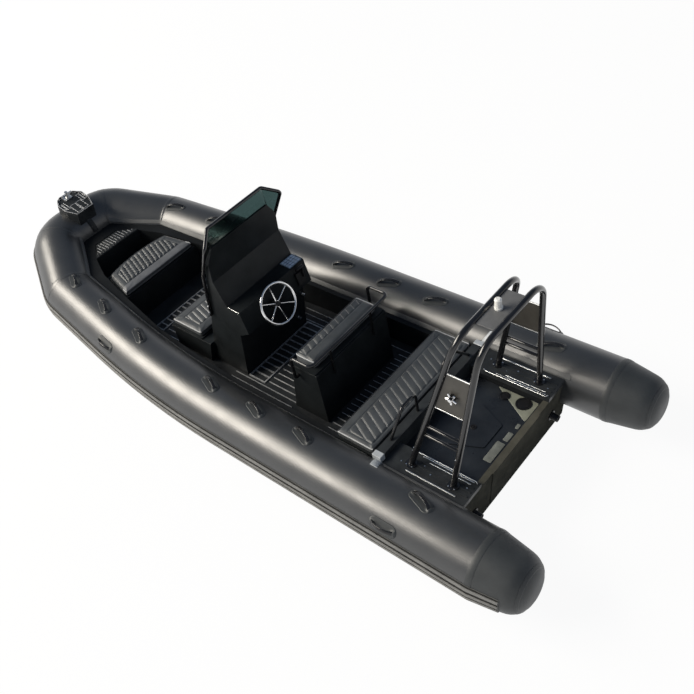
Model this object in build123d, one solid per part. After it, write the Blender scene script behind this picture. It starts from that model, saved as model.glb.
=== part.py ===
from build123d import *
import os
from math import atan2, cos, degrees, hypot, radians, sin, tan

# Rigid inflatable boat with an aluminium V hull, a centre console and a stern arch.
# Millimetres. x runs forward, y to port and z up, with the origin on the waterline
# at the foot of the transom's aft face.

# Clearances
seat_gap = 0.3
lid_gap = 0.5
lid_side_gap = 8
shaft_gap = 0.05

# Buoyancy tube
tube_d = 530
tube_y = 938
tube_z = 353
tube_end_x = -404
cone_len = 376
cone_mid_len = 235
cone_mid_r = 228
cone_tip_r = 118

# Bends of the tube's centreline on the port side, from the stern to the bow
# columns: x, y, z, bend radius
tube_bends = [
    (2988, tube_y, tube_z, 10900),
    (4695, 702, 483, 400),
    (5344, 332, 646, 290),
]

# Rub strake round the outside of the tube
strake_t = 9
strake_arc = 36
strake_rib_t = 6
strake_rib_arc = 5
strake_rib_at = (-12, 0, 12)
strake_tail_len = 225

# Handles on the tube
handle_len = 250
handle_w = 104
handle_pad_t = 4
handle_bar_w = 26
handle_bar_t = 11
handle_rise = 44
top_handle_angle = 100
top_handle_slant = 20
top_handle_x = (160, 1300, 1820, 2370, 3400, 4000, 4550)
# columns: x, angle round the tube
carry_handles = [(325, 32), (3660, 40)]

# V hull: sections from the stern to the stem
# columns: x, keel z, chine y, chine z, sheer y, sheer z
deck_z = 455
hull_lap = 138
hull_half = tube_y - hull_lap
chine_inset = 50
hull_sections = [
    (-120, -350, hull_half - chine_inset, -30, hull_half, deck_z),
    (2400, -360, hull_half - chine_inset, -20, hull_half, deck_z),
    (3400, -340, 715, 20, 770, 485),
    (4300, -230, 560, 110, 620, 575),
    (5000, 0, 300, 240, 380, 650),
    (5310, 300, 90, 380, 130, 700),
]
keel_flat = 40
chine_flat = 36
spray_rail_at = 0.52
spray_rail_w = 0.07
transom_rake = 7
transom_t = 50
motor_pad_half = 330
motor_pad_t = 8
motor_pad_z0 = 40

# Cockpit
hull_floor_z = 160
floor_t = 40
bow_floor_z = 300
# columns: x, half width of the cockpit inside the hull's sides
side_deck = 160
cockpit_half = hull_half - side_deck
cockpit_plan = [(680, cockpit_half), (2500, cockpit_half), (3000, 615), (3500, 570), (4000, 488), (4490, 392)]
bow_well_plan = [(4490, 392), (4740, 286), (4940, 138)]
floor_rib_pitch = 62
floor_rib_w = 14
floor_rib_h = 4
floor_rib_half = 560
grate_bar = 12
grate_h = 10
grate_pitch = 66
# columns: aft edge x, fore edge x, half width
floor_grates = [(2310, 2510, 410), (3720, 3840, 420)]

# Stern deck and splash well
well_half = 478
well_end_x = 680
well_floor_z = 400
well_liner_t = 30
platform_t = 45
platform_rib_pitch = 44
platform_rib_w = 12
platform_rib_h = 6
hatch_t = 8
# columns: x, half width of the hatch in the well's floor
hatch_plan = [(150, 130), (430, 250)]
# columns: x, diameter of the round plates along the well's starboard side
deck_plates = [(127, 130), (297, 84)]
deck_plate_t = 9
deck_plate_inset = 74
spout_d = 60
spout_len = 70
spout_y = 560
spout_z = 210

# Bulkhead beam between the bench and the splash well, with its hoops
beam_x0 = 680
beam_x1 = 760
beam_top_z = 550
beam_lap = 32
cap_t = 10
hoop_r = 13
hoop_top_z = 750
hoop_bend = 60
# columns: y of the outer foot, outer bend, inner bend, inner foot
hoop_run = (530, 350, 180, 180)

# Aft bench
bench_x1 = 1168
bench_gap = 10
bench_side_gap = 20
bench_cushion_aft = 18
locker_wall = 20
lid_t = 14
bench_cushion_t = 62

# Helm seat, its front face leaning aft
helm_x0 = 1500
helm_x1 = 1772
helm_foot_x1 = 1880
helm_half = 455
helm_top_z = 760
helm_lid_inset = 14
helm_lid_lip = 6
helm_cushion_aft = 50
helm_cushion_side = 48
helm_cushion_t = 80
rail_r = 14
rail_z = 915
rail_half = 500
rail_aft_x = 1484
rail_fore_x = 1710
rail_foot_z = 680
rail_bend = 50
rail_foot_bend = 22
rail_post_r = 10
rail_post_y = 260
rail_post_z = 640

# Console: side profile from the front foot round to the aft foot
# columns: x, z
console_half = 410
console_profile = [
    (2965, 200), (2755, 900), (2556, 1610), (2534, 1610), (2566, 1287), (2487, 1048),
    (2340, 1040), (2300, 815), (2430, 740), (2525, 200),
]
console_shoulder_z = 1470
console_hood_half = 330

# Windscreen
screen_frame_r = 15
glass_t = 6
glass_drop = 320
# corners on the port side: columns x, y, z, bend radius
screen_foot = (2742, console_half + screen_frame_r + seat_gap, 860)
screen_knee = (2645, 432, 1334, 260)
screen_shoulder = (2461, 452, 1687, 40)
screen_corner = (2535, 316, 1790, 40)

# Wheel and helm
wheel_d = 384
wheel_grip_r = 12
wheel_spokes = 6
wheel_spoke_r = 6
wheel_hub_r = 27
wheel_hub_t = 26
wheel_dish = 22
wheel_shaft_r = 10
wheel_shaft_len = 44
wheel_tilt = 23
wheel_at = (2228, 70, 936)
helm_hub_r = 36
helm_hub_len = 46
throttle_y = -300
throttle_base = (40, 90, 120)
throttle_lever_h = 110
throttle_grip_len = 84
panel_y0 = -400
panel_y1 = -245
panel_t = 4

# Seat ahead of the console
front_seat_x1 = 3430
front_seat_half = 455
front_seat_top_z = 450
front_lid_x0 = 3006
front_cushion_t = 60

# Fore locker with its sloped seat, and the bow locker
fore_x0 = 4070
fore_x1 = 4484
fore_top_z = 500
fore_slope = 7
fore_cushion_t = 66
fore_bow = 45
bow_x0 = 4742
bow_x1 = 4932
bow_top_z = 628
bow_lid_t = 16
bow_lid_rib_h = 6
bow_lid_rib_w = 12
bow_lid_rib_pitch = 34

# Bow step and bollard
# columns: x ahead of the step's aft edge, half width
step_plan = [(0, 105), (120, 150), (250, 160), (330, 105), (355, 60)]
step_x = 5100
step_z = 948
step_slope = 13
step_lip = 10
step_panel_inset = 14
bollard_x = 5385
bollard_r = 17
bollard_h = 74
bollard_bar_r = 10
bollard_bar_half = 62
bollard_bar_z = 52
tie_w = 56
tie_t = 14
tie_foot_z = 690

# Stern arch
arch_tube_r = 24
arch_foot_y = 600
arch_top_z = 1785
arch_top_half = 385
arch_bend = 200
arch_foot_r = 46
arch_foot_t = 8
arch_front_x = (480, 110)
arch_aft_x = (100, -75)
arch_plate_t = 8
arch_plate_half = 190
arch_side_z = (1160, 1490)
arch_rung_r = 13
arch_rung_z = (860, 950)
fitting_r = 26
fitting_h = 46
light_r = 30
light_base_h = 16
light_lens_h = 70

# Values that follow from the sizes above
tube_r = tube_d / 2
beam_half = tube_y - tube_r + beam_lap
hoop_x = (beam_x0 + beam_x1) / 2
bench_half = beam_half - bench_side_gap
floor_z = hull_floor_z + floor_t
platform_z = deck_z + platform_t
rake = radians(transom_rake)
rake_normal = (cos(rake), 0, sin(rake))
far = 8000


def mirrored(shape):
    return mirror(shape, about=Plane.XZ)


def both_sides(shape):
    return Compound(children=[shape, mirrored(shape)])


def rod(start, end, radius):
    a = Vector(*start)
    b = Vector(*end)
    plane = Plane(a, z_dir=b - a)
    return extrude(plane * Circle(radius), amount=(b - a).length)


def tube_run(points, radii, radius):
    path = FilletPolyline(*points, radius=radii) if len(points) > 2 else Line(*points)
    section = Plane(path @ 0, z_dir=path % 0) * Circle(radius)
    return sweep(section, path=path)


def prism(points, z0, z1):
    return extrude(make_face(Polyline(*points, close=True)), amount=z1 - z0).moved(Location((0, 0, z0)))


def side_prism(points, half):
    face = make_face(Polyline(*[(x, 0, z) for x, z in points], close=True))
    return extrude(face, amount=half, both=True, dir=(0, 1, 0))


def plan_points(table, inset=0):
    port = [(x, half - inset) for x, half in table]
    return port + [(x, -y) for x, y in reversed(port)]


def width_at(table, x):
    for (x0, w0), (x1, w1) in zip(table, table[1:]):
        if x0 <= x <= x1:
            return w0 + (w1 - w0) * (x - x0) / (x1 - x0)
    return table[-1][1]


# Buoyancy tube

def tube_path():
    port = [(tube_end_x, tube_y, tube_z)] + [(x, y, z) for x, y, z, r in tube_bends]
    starboard = [(x, -y, z) for x, y, z in reversed(port)]
    radii = [r for x, y, z, r in tube_bends]
    return FilletPolyline(*port, *starboard, radius=radii + radii[::-1])


centreline = tube_path()


def tube_solid(radius):
    section = Plane(centreline @ 0, z_dir=centreline % 0) * Circle(radius)
    return sweep(section, path=centreline)


def tube_station(x):
    low, high = 0.0, 0.5
    for step in range(40):
        middle = (low + high) / 2
        if (centreline @ middle).X < x:
            low = middle
        else:
            high = middle
    return centreline @ low, centreline % low


def tube_cone():
    outline = [
        Line((0, 0), (0, tube_r)),
        Line((0, tube_r), (cone_mid_len, cone_mid_r)),
        TangentArc((cone_mid_len, cone_mid_r), (cone_len, cone_tip_r),
                   tangent=(cone_mid_len, cone_mid_r - tube_r)),
        Line((cone_len, cone_tip_r), (cone_len, 0)),
        Line((cone_len, 0), (0, 0)),
    ]
    plane = Plane((tube_end_x, tube_y, tube_z), x_dir=(-1, 0, 0), z_dir=(0, 1, 0))
    return revolve(plane * make_face(outline), axis=Axis((tube_end_x, tube_y, tube_z), (-1, 0, 0)))


def ring_sector(r0, r1, angle, spread):
    a0 = radians(angle - spread / 2)
    a1 = radians(angle + spread / 2)
    mid = radians(angle)
    ends = [(r * cos(a), r * sin(a)) for r, a in ((r0, a0), (r1, a0), (r1, a1), (r0, a1))]
    return make_face([
        Line(ends[0], ends[1]),
        ThreePointArc(ends[1], (r1 * cos(mid), r1 * sin(mid)), ends[2]),
        Line(ends[2], ends[3]),
        ThreePointArc(ends[3], (r0 * cos(mid), r0 * sin(mid)), ends[0]),
    ])


def strake_tail(angle, spread, low, high):
    taper = (tube_r - cone_mid_r) / cone_mid_len
    inner = tube_r + seat_gap + low
    outer = tube_r + seat_gap + high
    drop = taper * strake_tail_len
    outline = [(0, inner), (0, outer), (strake_tail_len, outer - drop), (strake_tail_len, inner - drop)]
    axis = Axis((tube_end_x, tube_y, tube_z), (-1, 0, 0))
    flat = make_face(Polyline(*[(tube_end_x - x, tube_y + r, tube_z) for x, r in outline], close=True))
    return revolve(flat.rotate(axis, angle - spread / 2), axis=axis, revolution_arc=spread)


def rub_strake():
    inner = tube_r + seat_gap
    outer = inner + strake_t
    profile = ring_sector(inner, outer, 0, strake_arc)
    for angle in strake_rib_at:
        profile += ring_sector(outer - 1, outer + strake_rib_t, angle, strake_rib_arc)
    plane = Plane((tube_end_x, tube_y, tube_z), x_dir=(0, 1, 0), z_dir=(1, 0, 0))
    bends = [(x, y, z) for x, y, z, r in tube_bends]
    stem = (tube_bends[-1][0], 0, tube_bends[-1][2])
    radii = [r for x, y, z, r in tube_bends]
    half_path = FilletPolyline((tube_end_x, tube_y, tube_z), *bends, stem, radius=radii)
    half = sweep(plane * profile, path=half_path)
    for angle, spread, low, high in [(0, strake_arc, 0, strake_t)] + [
            (angle, strake_rib_arc, strake_t - 1, strake_t + strake_rib_t) for angle in strake_rib_at]:
        half += strake_tail(angle, spread, low, high)
    return half + mirrored(half)


def handle(x, angle, slant, shell):
    spot, run = tube_station(x)
    along = Vector(run.X, run.Y, run.Z).normalized()
    side = Vector(0, 0, 1).cross(along).normalized()
    lift = along.cross(side)
    out = side * cos(radians(angle)) + lift * sin(radians(angle))
    across = out.cross(along)
    run_dir = along * cos(radians(slant)) - across * sin(radians(slant))
    plane = Plane(spot + out * tube_r, x_dir=run_dir, z_dir=out)
    pad = extrude(plane.offset(handle_pad_t) * SlotOverall(handle_len, handle_w), amount=-handle_w / 2)
    reach = handle_len / 2 - 18
    foot = 24
    base = handle_pad_t - 2
    rise = handle_rise + handle_pad_t
    bow = [
        ThreePointArc((-reach, base), (0, rise), (reach, base)),
        Line((reach, base), (reach - foot, base)),
        ThreePointArc((reach - foot, base), (0, rise - handle_bar_t), (foot - reach, base)),
        Line((foot - reach, base), (-reach, base)),
    ]
    upright = Plane(plane.origin, x_dir=plane.x_dir, z_dir=plane.y_dir * -1)
    bar = extrude(upright * make_face(bow), amount=handle_bar_w / 2, both=True)
    return pad + bar - shell


# Hull, floor and transom

def hull_section(x, keel_z, chine_y, chine_z, sheer_y, sheer_z):
    keel = keel_flat / 2 * min(1, chine_y / 300)
    slope = (chine_z - keel_z) / (chine_y - keel)
    rail_y = keel + (chine_y - keel) * spray_rail_at
    rail_end = rail_y + chine_y * spray_rail_w
    rail_z = keel_z + slope * (rail_y - keel)
    chine = chine_flat * chine_y / 750
    half = [
        (keel, keel_z), (rail_y, rail_z), (rail_end, rail_z), (rail_end, rail_z + slope * (rail_end - rail_y)),
        (chine_y - chine, chine_z - slope * chine), (chine_y + chine, chine_z - slope * chine),
        (chine_y + chine, chine_z + chine / 2), (sheer_y, sheer_z),
    ]
    loop = half + [(-y, z) for y, z in reversed(half)]
    return make_face(Polyline(*[(x, y, z) for y, z in loop], close=True))


def hull_block():
    return loft([hull_section(*row) for row in hull_sections], ruled=True)


def behind_transom(depth):
    plane = Plane((0, 0, 0), x_dir=(0, 1, 0), z_dir=rake_normal)
    return extrude(plane.offset(depth) * Rectangle(far, far), amount=-far / 4)


def hull_bottom(block, seat):
    cockpit = prism(plan_points(cockpit_plan), hull_floor_z, far)
    bow_well = prism(plan_points(bow_well_plan), bow_floor_z, far)
    liner_z = well_floor_z - well_liner_t
    well = prism(plan_points([(-far, well_half), (well_end_x, well_half)]), liner_z, far)
    return block - behind_transom(transom_t) - seat - cockpit - bow_well - well


def transom(block, seat):
    plate = (block & behind_transom(transom_t)) - behind_transom(0) - seat
    pad = behind_transom(0) - behind_transom(-motor_pad_t)
    pad &= Pos(0, 0, motor_pad_z0) * Box(far, 2 * motor_pad_half, deck_z - motor_pad_z0,
                                         align=(Align.CENTER, Align.CENTER, Align.MIN))
    return plate + pad


def cockpit_floor():
    x0 = beam_x1 + seat_gap
    table = [(x0, cockpit_plan[0][1])] + cockpit_plan[1:-1]
    table.append((fore_x1, width_at(cockpit_plan, fore_x1)))
    floor = prism(plan_points(table, seat_gap), hull_floor_z, floor_z)
    count = int(floor_rib_half / floor_rib_pitch)
    ribs = []
    # columns: aft end and fore end of a clear stretch of floor
    for start, end in ((bench_x1 + 20, floor_grates[0][0] - 20), (front_seat_x1 + 20, floor_grates[1][0] - 20)):
        for row in range(-count, count + 1):
            y = row * floor_rib_pitch
            under_seat = abs(y) < helm_half + floor_rib_pitch and start < helm_x0
            stop = helm_x0 - 20 if under_seat else end
            rib = Box(stop - start, floor_rib_w, floor_rib_h, align=(Align.MIN, Align.CENTER, Align.MIN))
            if abs(y) + floor_rib_w < width_at(table, end):
                ribs.append(rib.moved(Location((start, y, floor_z))))
    return floor + ribs


def floor_grate(x0, x1, half):
    bars = []
    for x in (x0, x1 - grate_bar):
        bars.append(Pos(x, 0, floor_z) * Box(grate_bar, 2 * half, grate_h,
                                             align=(Align.MIN, Align.CENTER, Align.MIN)))
    count = int(2 * half / grate_pitch)
    for number in range(count + 1):
        y = -half + grate_bar / 2 + number * (2 * half - grate_bar) / count
        bars.append(Pos((x0 + x1) / 2, y, floor_z) * Box(x1 - x0, grate_bar, grate_h,
                                                         align=(Align.CENTER, Align.CENTER, Align.MIN)))
    return bars[0] + bars[1:]


# Stern deck

def side_platform(seat):
    width = tube_y - well_half
    plate = Pos(-far / 8, well_half, deck_z) * Box(far / 8 + beam_x0 - seat_gap, width, platform_t,
                                                   align=(Align.MIN, Align.MIN, Align.MIN))
    outer = tube_y - tube_r - 20
    row = well_half + platform_rib_pitch / 2
    while row < outer:
        plate += Pos(-40, row, platform_z) * Box(arch_aft_x[0] * 5, platform_rib_w, platform_rib_h,
                                                 align=(Align.MIN, Align.CENTER, Align.MIN))
        row += platform_rib_pitch
    feet = [Pos(x, arch_foot_y, platform_z) * Cylinder(arch_foot_r + 2, far / 8,
                                                       align=(Align.CENTER, Align.CENTER, Align.MIN))
            for x in (arch_front_x[0], arch_aft_x[0])]
    return plate - behind_transom(0) - seat - feet


def splash_well():
    liner = prism(plan_points([(-far / 8, well_half - seat_gap), (well_end_x - seat_gap, well_half - seat_gap)]),
                  well_floor_z - well_liner_t, well_floor_z)
    return liner - behind_transom(transom_t)


def well_hatch():
    plate = prism(plan_points(hatch_plan), well_floor_z, well_floor_z + hatch_t)
    return fillet(plate.edges().filter_by(Axis.Z), 24)


def deck_plate(x, size):
    disc = Cylinder(size / 2, deck_plate_t, align=(Align.CENTER, Align.CENTER, Align.MIN))
    groove = Pos(0, 0, deck_plate_t) * (Cylinder(size * 0.40, 6) - Cylinder(size * 0.36, 6))
    return Pos(x, deck_plate_inset - well_half, well_floor_z) * (disc - groove)


def drain_spout():
    plane = Plane((-spout_z * tan(rake), spout_y, spout_z), x_dir=(0, 1, 0),
                  z_dir=(-cos(rake), 0, -sin(rake)))
    flange = extrude(plane * Circle(spout_d * 0.75), amount=10)
    pipe = extrude(plane * (Circle(spout_d / 2) - Circle(spout_d / 2 - 6)), amount=spout_len)
    return flange + pipe


# Bulkhead beam, bench and seats

def aft_bulkhead(seat):
    wall = prism([(beam_x0, -width_at(cockpit_plan, beam_x0) + seat_gap),
                  (beam_x1, -width_at(cockpit_plan, beam_x0) + seat_gap),
                  (beam_x1, width_at(cockpit_plan, beam_x0) - seat_gap),
                  (beam_x0, width_at(cockpit_plan, beam_x0) - seat_gap)], hull_floor_z, deck_z)
    beam = Pos(beam_x0, 0, deck_z) * Box(beam_x1 - beam_x0, 2 * beam_half, beam_top_z - deck_z,
                                         align=(Align.MIN, Align.CENTER, Align.MIN))
    return wall + beam - seat


def beam_cap(seat):
    cap = Pos(beam_x0, beam_half, deck_z + 20) * Box(beam_x1 - beam_x0, cap_t, beam_top_z - deck_z - 20,
                                                     align=(Align.MIN, Align.MIN, Align.MIN))
    return cap - seat


def bench_hoop():
    outer_foot, outer_bend, inner_bend, inner_foot = hoop_run
    points = [(hoop_x, outer_foot, beam_top_z), (hoop_x, outer_bend, hoop_top_z),
              (hoop_x, inner_bend, hoop_top_z), (hoop_x, inner_foot, beam_top_z)]
    hoop = tube_run(points, hoop_bend, hoop_r)
    return hoop - Pos(hoop_x, 0, beam_top_z) * Box(far, far, far / 8, align=(Align.CENTER, Align.CENTER, Align.MAX))


def open_box(x0, x1, half, z0, z1, wall):
    outer = Pos(x0, 0, z0) * Box(x1 - x0, 2 * half, z1 - z0, align=(Align.MIN, Align.CENTER, Align.MIN))
    inner = Pos(x0 + wall, 0, z0 + wall) * Box(x1 - x0 - 2 * wall, 2 * (half - wall), z1 - z0,
                                               align=(Align.MIN, Align.CENTER, Align.MIN))
    return outer - inner


def aft_bench_box():
    half = width_at(cockpit_plan, beam_x1) - seat_gap
    return open_box(beam_x1 + seat_gap, bench_x1, half, floor_z, deck_z, locker_wall)


def rounded_slab(x0, x1, half, z0, thick, corner):
    return Pos((x0 + x1) / 2, 0, z0) * extrude(RectangleRounded(x1 - x0, 2 * half, corner), amount=thick)


def bench_lid():
    return rounded_slab(beam_x1 + bench_gap, bench_x1 + lid_side_gap, bench_half, deck_z + lid_gap, lid_t, 10)


def bench_cushion():
    return rounded_slab(beam_x1 + bench_gap + bench_cushion_aft, bench_x1, bench_half - 8,
                        deck_z + lid_gap + lid_t + seat_gap, bench_cushion_t, 30)


def helm_seat_box():
    box = side_prism([(helm_x0, floor_z), (helm_foot_x1, floor_z), (helm_x1, helm_top_z), (helm_x0, helm_top_z)],
                     helm_half)
    room = Pos(helm_x0 + locker_wall, 0, floor_z + locker_wall) * Box(
        helm_x1 - helm_x0 - 2 * locker_wall, 2 * (helm_half - locker_wall), far / 8,
        align=(Align.MIN, Align.CENTER, Align.MIN))
    return box - room


def helm_lid():
    return rounded_slab(helm_x0 + helm_lid_inset, helm_x1 + helm_lid_lip, helm_half - 4, helm_top_z + lid_gap,
                        lid_t, 12)


def helm_cushion():
    return rounded_slab(helm_x0 + helm_cushion_aft, helm_x1, helm_half - helm_cushion_side,
                        helm_top_z + lid_gap + lid_t + seat_gap, helm_cushion_t, 36)


def helm_seat_rail():
    side = helm_half + seat_gap
    port = [(rail_fore_x, side, rail_foot_z), (rail_fore_x, rail_half, rail_foot_z),
            (rail_fore_x, rail_half, rail_z), (rail_aft_x, rail_half, rail_z)]
    points = port + [(x, -y, z) for x, y, z in reversed(port)]
    radii = [rail_foot_bend, rail_bend, rail_bend]
    rail = tube_run(points, radii + radii[::-1], rail_r)
    post_x = helm_x0 - rail_post_r - seat_gap
    for y in (-rail_post_y, rail_post_y):
        rail += rod((post_x, y, rail_post_z), (post_x, y, rail_z), rail_post_r)
    return rail


# Console

def console_shell():
    body = side_prism(console_profile, console_half)
    corner = [(console_half + 1, console_shoulder_z), (console_half + 1, far), (console_hood_half, far),
              (console_hood_half, console_profile[2][1])]
    wedge = extrude(make_face(Polyline(*[(0, y, z) for y, z in corner], close=True)), amount=far, dir=(1, 0, 0))
    return body - wedge - mirrored(wedge)


def screen_points():
    foot = screen_foot
    port = [foot, screen_knee[:3], screen_shoulder[:3], screen_corner[:3]]
    radii = [screen_knee[3], screen_shoulder[3], screen_corner[3]]
    return port + [(x, -y, z) for x, y, z in reversed(port)], radii + radii[::-1]


def windscreen_frame():
    points, radii = screen_points()
    return tube_run(points, radii, screen_frame_r)


def windscreen_glass(frame):
    lean = (screen_corner[0] - screen_knee[0]) / (screen_corner[2] - screen_knee[2])
    corner = Vector(*screen_corner[:3])
    shoulder = Vector(*screen_shoulder[:3])
    knee = Vector(*screen_knee[:3])
    fold = Vector(1, 0, -lean).cross((shoulder - corner).cross(knee - corner))
    low_z = console_profile[3][1] - glass_drop
    fold_foot = corner + fold * ((low_z - corner.Z) / fold.Z)
    wing_foot = knee + (shoulder - knee) * ((low_z - knee.Z) / (shoulder.Z - knee.Z))
    centre = [corner, Vector(corner.X, -corner.Y, corner.Z),
              Vector(fold_foot.X, -fold_foot.Y, low_z), fold_foot]
    wing = [corner, shoulder, wing_foot, fold_foot]
    pane = extrude(make_face(Polyline(*centre, close=True)), amount=glass_t / 2, both=True)
    fan = extrude(make_face(Polyline(*wing[:3], close=True)), amount=glass_t / 2, both=True)
    fan += extrude(make_face(Polyline(wing[0], wing[2], wing[3], close=True)), amount=glass_t / 2, both=True)
    return pane + fan + mirrored(fan) - frame


def wheel_plane():
    tilt = radians(wheel_tilt)
    return Plane(wheel_at, x_dir=(0, -1, 0), z_dir=(-cos(tilt), 0, sin(tilt)))


def steering_wheel():
    plane = wheel_plane()
    ring_r = wheel_d / 2 - wheel_grip_r
    wheel = Torus(ring_r, wheel_grip_r)
    for number in range(wheel_spokes):
        turn = Rot(0, 0, 30 + 360 / wheel_spokes * number)
        wheel += turn * rod((wheel_hub_r - 6, 0, -wheel_dish), (ring_r, 0, 0), wheel_spoke_r)
    hub = Cylinder(wheel_hub_r, wheel_hub_t)
    cap = Pos(0, 0, wheel_hub_t / 2) * Cylinder(wheel_hub_r * 0.6, 14)
    wheel += Pos(0, 0, -wheel_dish) * (hub + cap)
    wheel += rod((0, 0, -wheel_dish), (0, 0, -wheel_dish - wheel_hub_t / 2 - wheel_shaft_len), wheel_shaft_r)
    return plane.location * wheel


def helm_hub(console):
    plane = wheel_plane()
    top = -wheel_dish - wheel_hub_t / 2 - 6
    post = Pos(0, 0, top) * Cylinder(helm_hub_r, 2 * helm_hub_len, align=(Align.CENTER, Align.CENTER, Align.MAX))
    bore = Pos(0, 0, top) * Cylinder(wheel_shaft_r + shaft_gap, wheel_shaft_len,
                                     align=(Align.CENTER, Align.CENTER, Align.MAX))
    return plane.location * (post - bore) - console


def throttle_box():
    (x0, z0), (x1, z1) = console_profile[6], console_profile[7]
    x = x0 + (x1 - x0) * 0.55
    z = z0 + (z1 - z0) * 0.55
    face = atan2(x0 - x1, z0 - z1)
    base = Box(*throttle_base)
    lever = rod((-24, -28, 0), (-44, -28, throttle_lever_h), 9)
    grip = Pos(-46, 0, throttle_lever_h + 2) * Rot(90, 0, 0) * Cylinder(14, throttle_grip_len)
    return Pos(x, throttle_y, z) * (Rot(0, degrees(face), 0) * (base + lever + grip))


def instrument_panel():
    (x0, z0), (x1, z1) = console_profile[5], console_profile[6]
    slope = atan2(z0 - z1, x0 - x1)
    length = hypot(x0 - x1, z0 - z1) - 24
    width = panel_y1 - panel_y0
    panel = Pos(0, 0, seat_gap) * extrude(RectangleRounded(length, width, 8), amount=panel_t)
    return Pos((x0 + x1) / 2, (panel_y0 + panel_y1) / 2, (z0 + z1) / 2) * (Rot(0, -degrees(slope), 0) * panel)


def front_lean(z):
    (x0, z0), (x1, z1) = console_profile[0], console_profile[1]
    return x0 + (x1 - x0) * (z - z0) / (z1 - z0)


def console_seat_box():
    top = front_seat_top_z
    profile = [(front_lean(floor_z) + seat_gap * 2, floor_z), (front_seat_x1, floor_z), (front_seat_x1, top),
               (front_lean(top) + seat_gap * 2, top)]
    box = side_prism(profile, front_seat_half)
    room = Pos(front_lid_x0 + locker_wall, 0, floor_z + locker_wall) * Box(
        front_seat_x1 - front_lid_x0 - 2 * locker_wall, 2 * (front_seat_half - locker_wall), far / 8,
        align=(Align.MIN, Align.CENTER, Align.MIN))
    return box - room


def console_lid():
    return rounded_slab(front_lid_x0, front_seat_x1 + 4, front_seat_half - 4, front_seat_top_z + lid_gap, lid_t, 12)


def console_cushion():
    return rounded_slab(front_lid_x0 + 6, front_seat_x1 - 6, front_seat_half - 14,
                        front_seat_top_z + lid_gap + lid_t + seat_gap, front_cushion_t, 34)


# Fore locker and bow locker

def fore_plane():
    tilt = radians(fore_slope)
    return Plane((fore_x0, 0, fore_top_z), x_dir=(cos(tilt), 0, sin(tilt)), z_dir=(-sin(tilt), 0, cos(tilt)))


def fore_locker():
    rows = [(fore_x0, width_at(cockpit_plan, fore_x0)), (fore_x1, width_at(cockpit_plan, fore_x1))]
    inner = [(fore_x0 + locker_wall, width_at(cockpit_plan, fore_x0 + locker_wall)),
             (fore_x1 - locker_wall, width_at(cockpit_plan, fore_x1 - locker_wall))]
    box = prism(plan_points(rows, seat_gap), floor_z, far / 8)
    room = prism(plan_points(inner, locker_wall), floor_z + locker_wall, far / 8)
    above = extrude(fore_plane() * Rectangle(far / 4, far / 4), amount=far / 4)
    return box - room - above


def fore_outline(inset, bow):
    length = (fore_x1 - fore_x0) / cos(radians(fore_slope))
    aft = width_at(cockpit_plan, fore_x0) - lid_side_gap - inset
    fore = width_at(cockpit_plan, fore_x1) - lid_side_gap - inset
    x0 = inset + 4
    x1 = length - inset - bow - 4
    return make_face([
        Line((x0, -aft), (x0, aft)),
        Line((x0, aft), (x1, fore)),
        ThreePointArc((x1, fore), (x1 + bow, 0), (x1, -fore)),
        Line((x1, -fore), (x0, -aft)),
    ])


def fore_lid():
    return extrude(fore_plane().offset(lid_gap) * fore_outline(0, fore_bow), amount=lid_t)


def fore_cushion():
    return extrude(fore_plane().offset(lid_gap + lid_t + seat_gap) * fore_outline(10, fore_bow), amount=fore_cushion_t)


def bow_rows(x0, x1):
    return [(x0, width_at(bow_well_plan, x0)), (x1, width_at(bow_well_plan, x1))]


def bow_locker():
    box = prism(plan_points(bow_rows(bow_x0, bow_x1), seat_gap), bow_floor_z, bow_top_z)
    room = prism(plan_points(bow_rows(bow_x0 + locker_wall, bow_x1 - locker_wall), locker_wall),
                 bow_floor_z + locker_wall, far)
    return box - room


def bow_lid():
    outline = plan_points(bow_rows(bow_x0 - 6, bow_x1 - 4), lid_side_gap)
    z0 = bow_top_z + lid_gap
    lid = prism(outline, z0, z0 + bow_lid_t)
    count = int(width_at(bow_well_plan, bow_x0) / bow_lid_rib_pitch)
    ribs = []
    for number in range(-count, count + 1):
        ribs.append(Pos(bow_x0, number * bow_lid_rib_pitch, z0) * Box(
            bow_x1 - bow_x0 - 16, bow_lid_rib_w, bow_lid_t + bow_lid_rib_h, align=(Align.MIN, Align.CENTER, Align.MIN)))
    frame = prism(plan_points(bow_rows(bow_x0 + 4, bow_x1 - 14), lid_side_gap + 10), z0, z0 + bow_lid_t + bow_lid_rib_h)
    return lid + [rib & frame for rib in ribs]


# Bow step and bollard

def step_plane():
    tilt = radians(step_slope)
    return Plane((step_x, 0, step_z), x_dir=(cos(tilt), 0, sin(tilt)), z_dir=(-sin(tilt), 0, cos(tilt)))


def bow_step(seat):
    plane = step_plane()
    outline = make_face(Polyline(*plan_points(step_plan), close=True))
    panel = offset(outline, -step_panel_inset)
    block = extrude(plane * outline, amount=-far / 40)
    block += extrude(plane * (outline - panel), amount=step_lip)
    return block - seat


def bow_tie(seat, step):
    strap = Pos(tube_bends[2][0], 0, tie_foot_z) * Box(tube_d, tie_w, step_z - tie_foot_z,
                                                       align=(Align.MAX, Align.CENTER, Align.MIN))
    return (strap & tube_solid(tube_r + seat_gap + tie_t)) - seat - step


def bow_bollard():
    plane = step_plane()
    along = (bollard_x - step_x) / cos(radians(step_slope))
    base = Pos(along, 0, 0) * extrude(RectangleRounded(64, 92, 10), amount=8)
    post = Pos(along, 0, 8) * Cylinder(bollard_r, bollard_h, align=(Align.CENTER, Align.CENTER, Align.MIN))
    bar = rod((along, -bollard_bar_half, bollard_bar_z), (along, bollard_bar_half, bollard_bar_z), bollard_bar_r)
    return plane.location * (base + post + bar)


# Stern arch

def arch_slope():
    return (arch_top_half - arch_foot_y) / (arch_top_z - platform_z)


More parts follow.
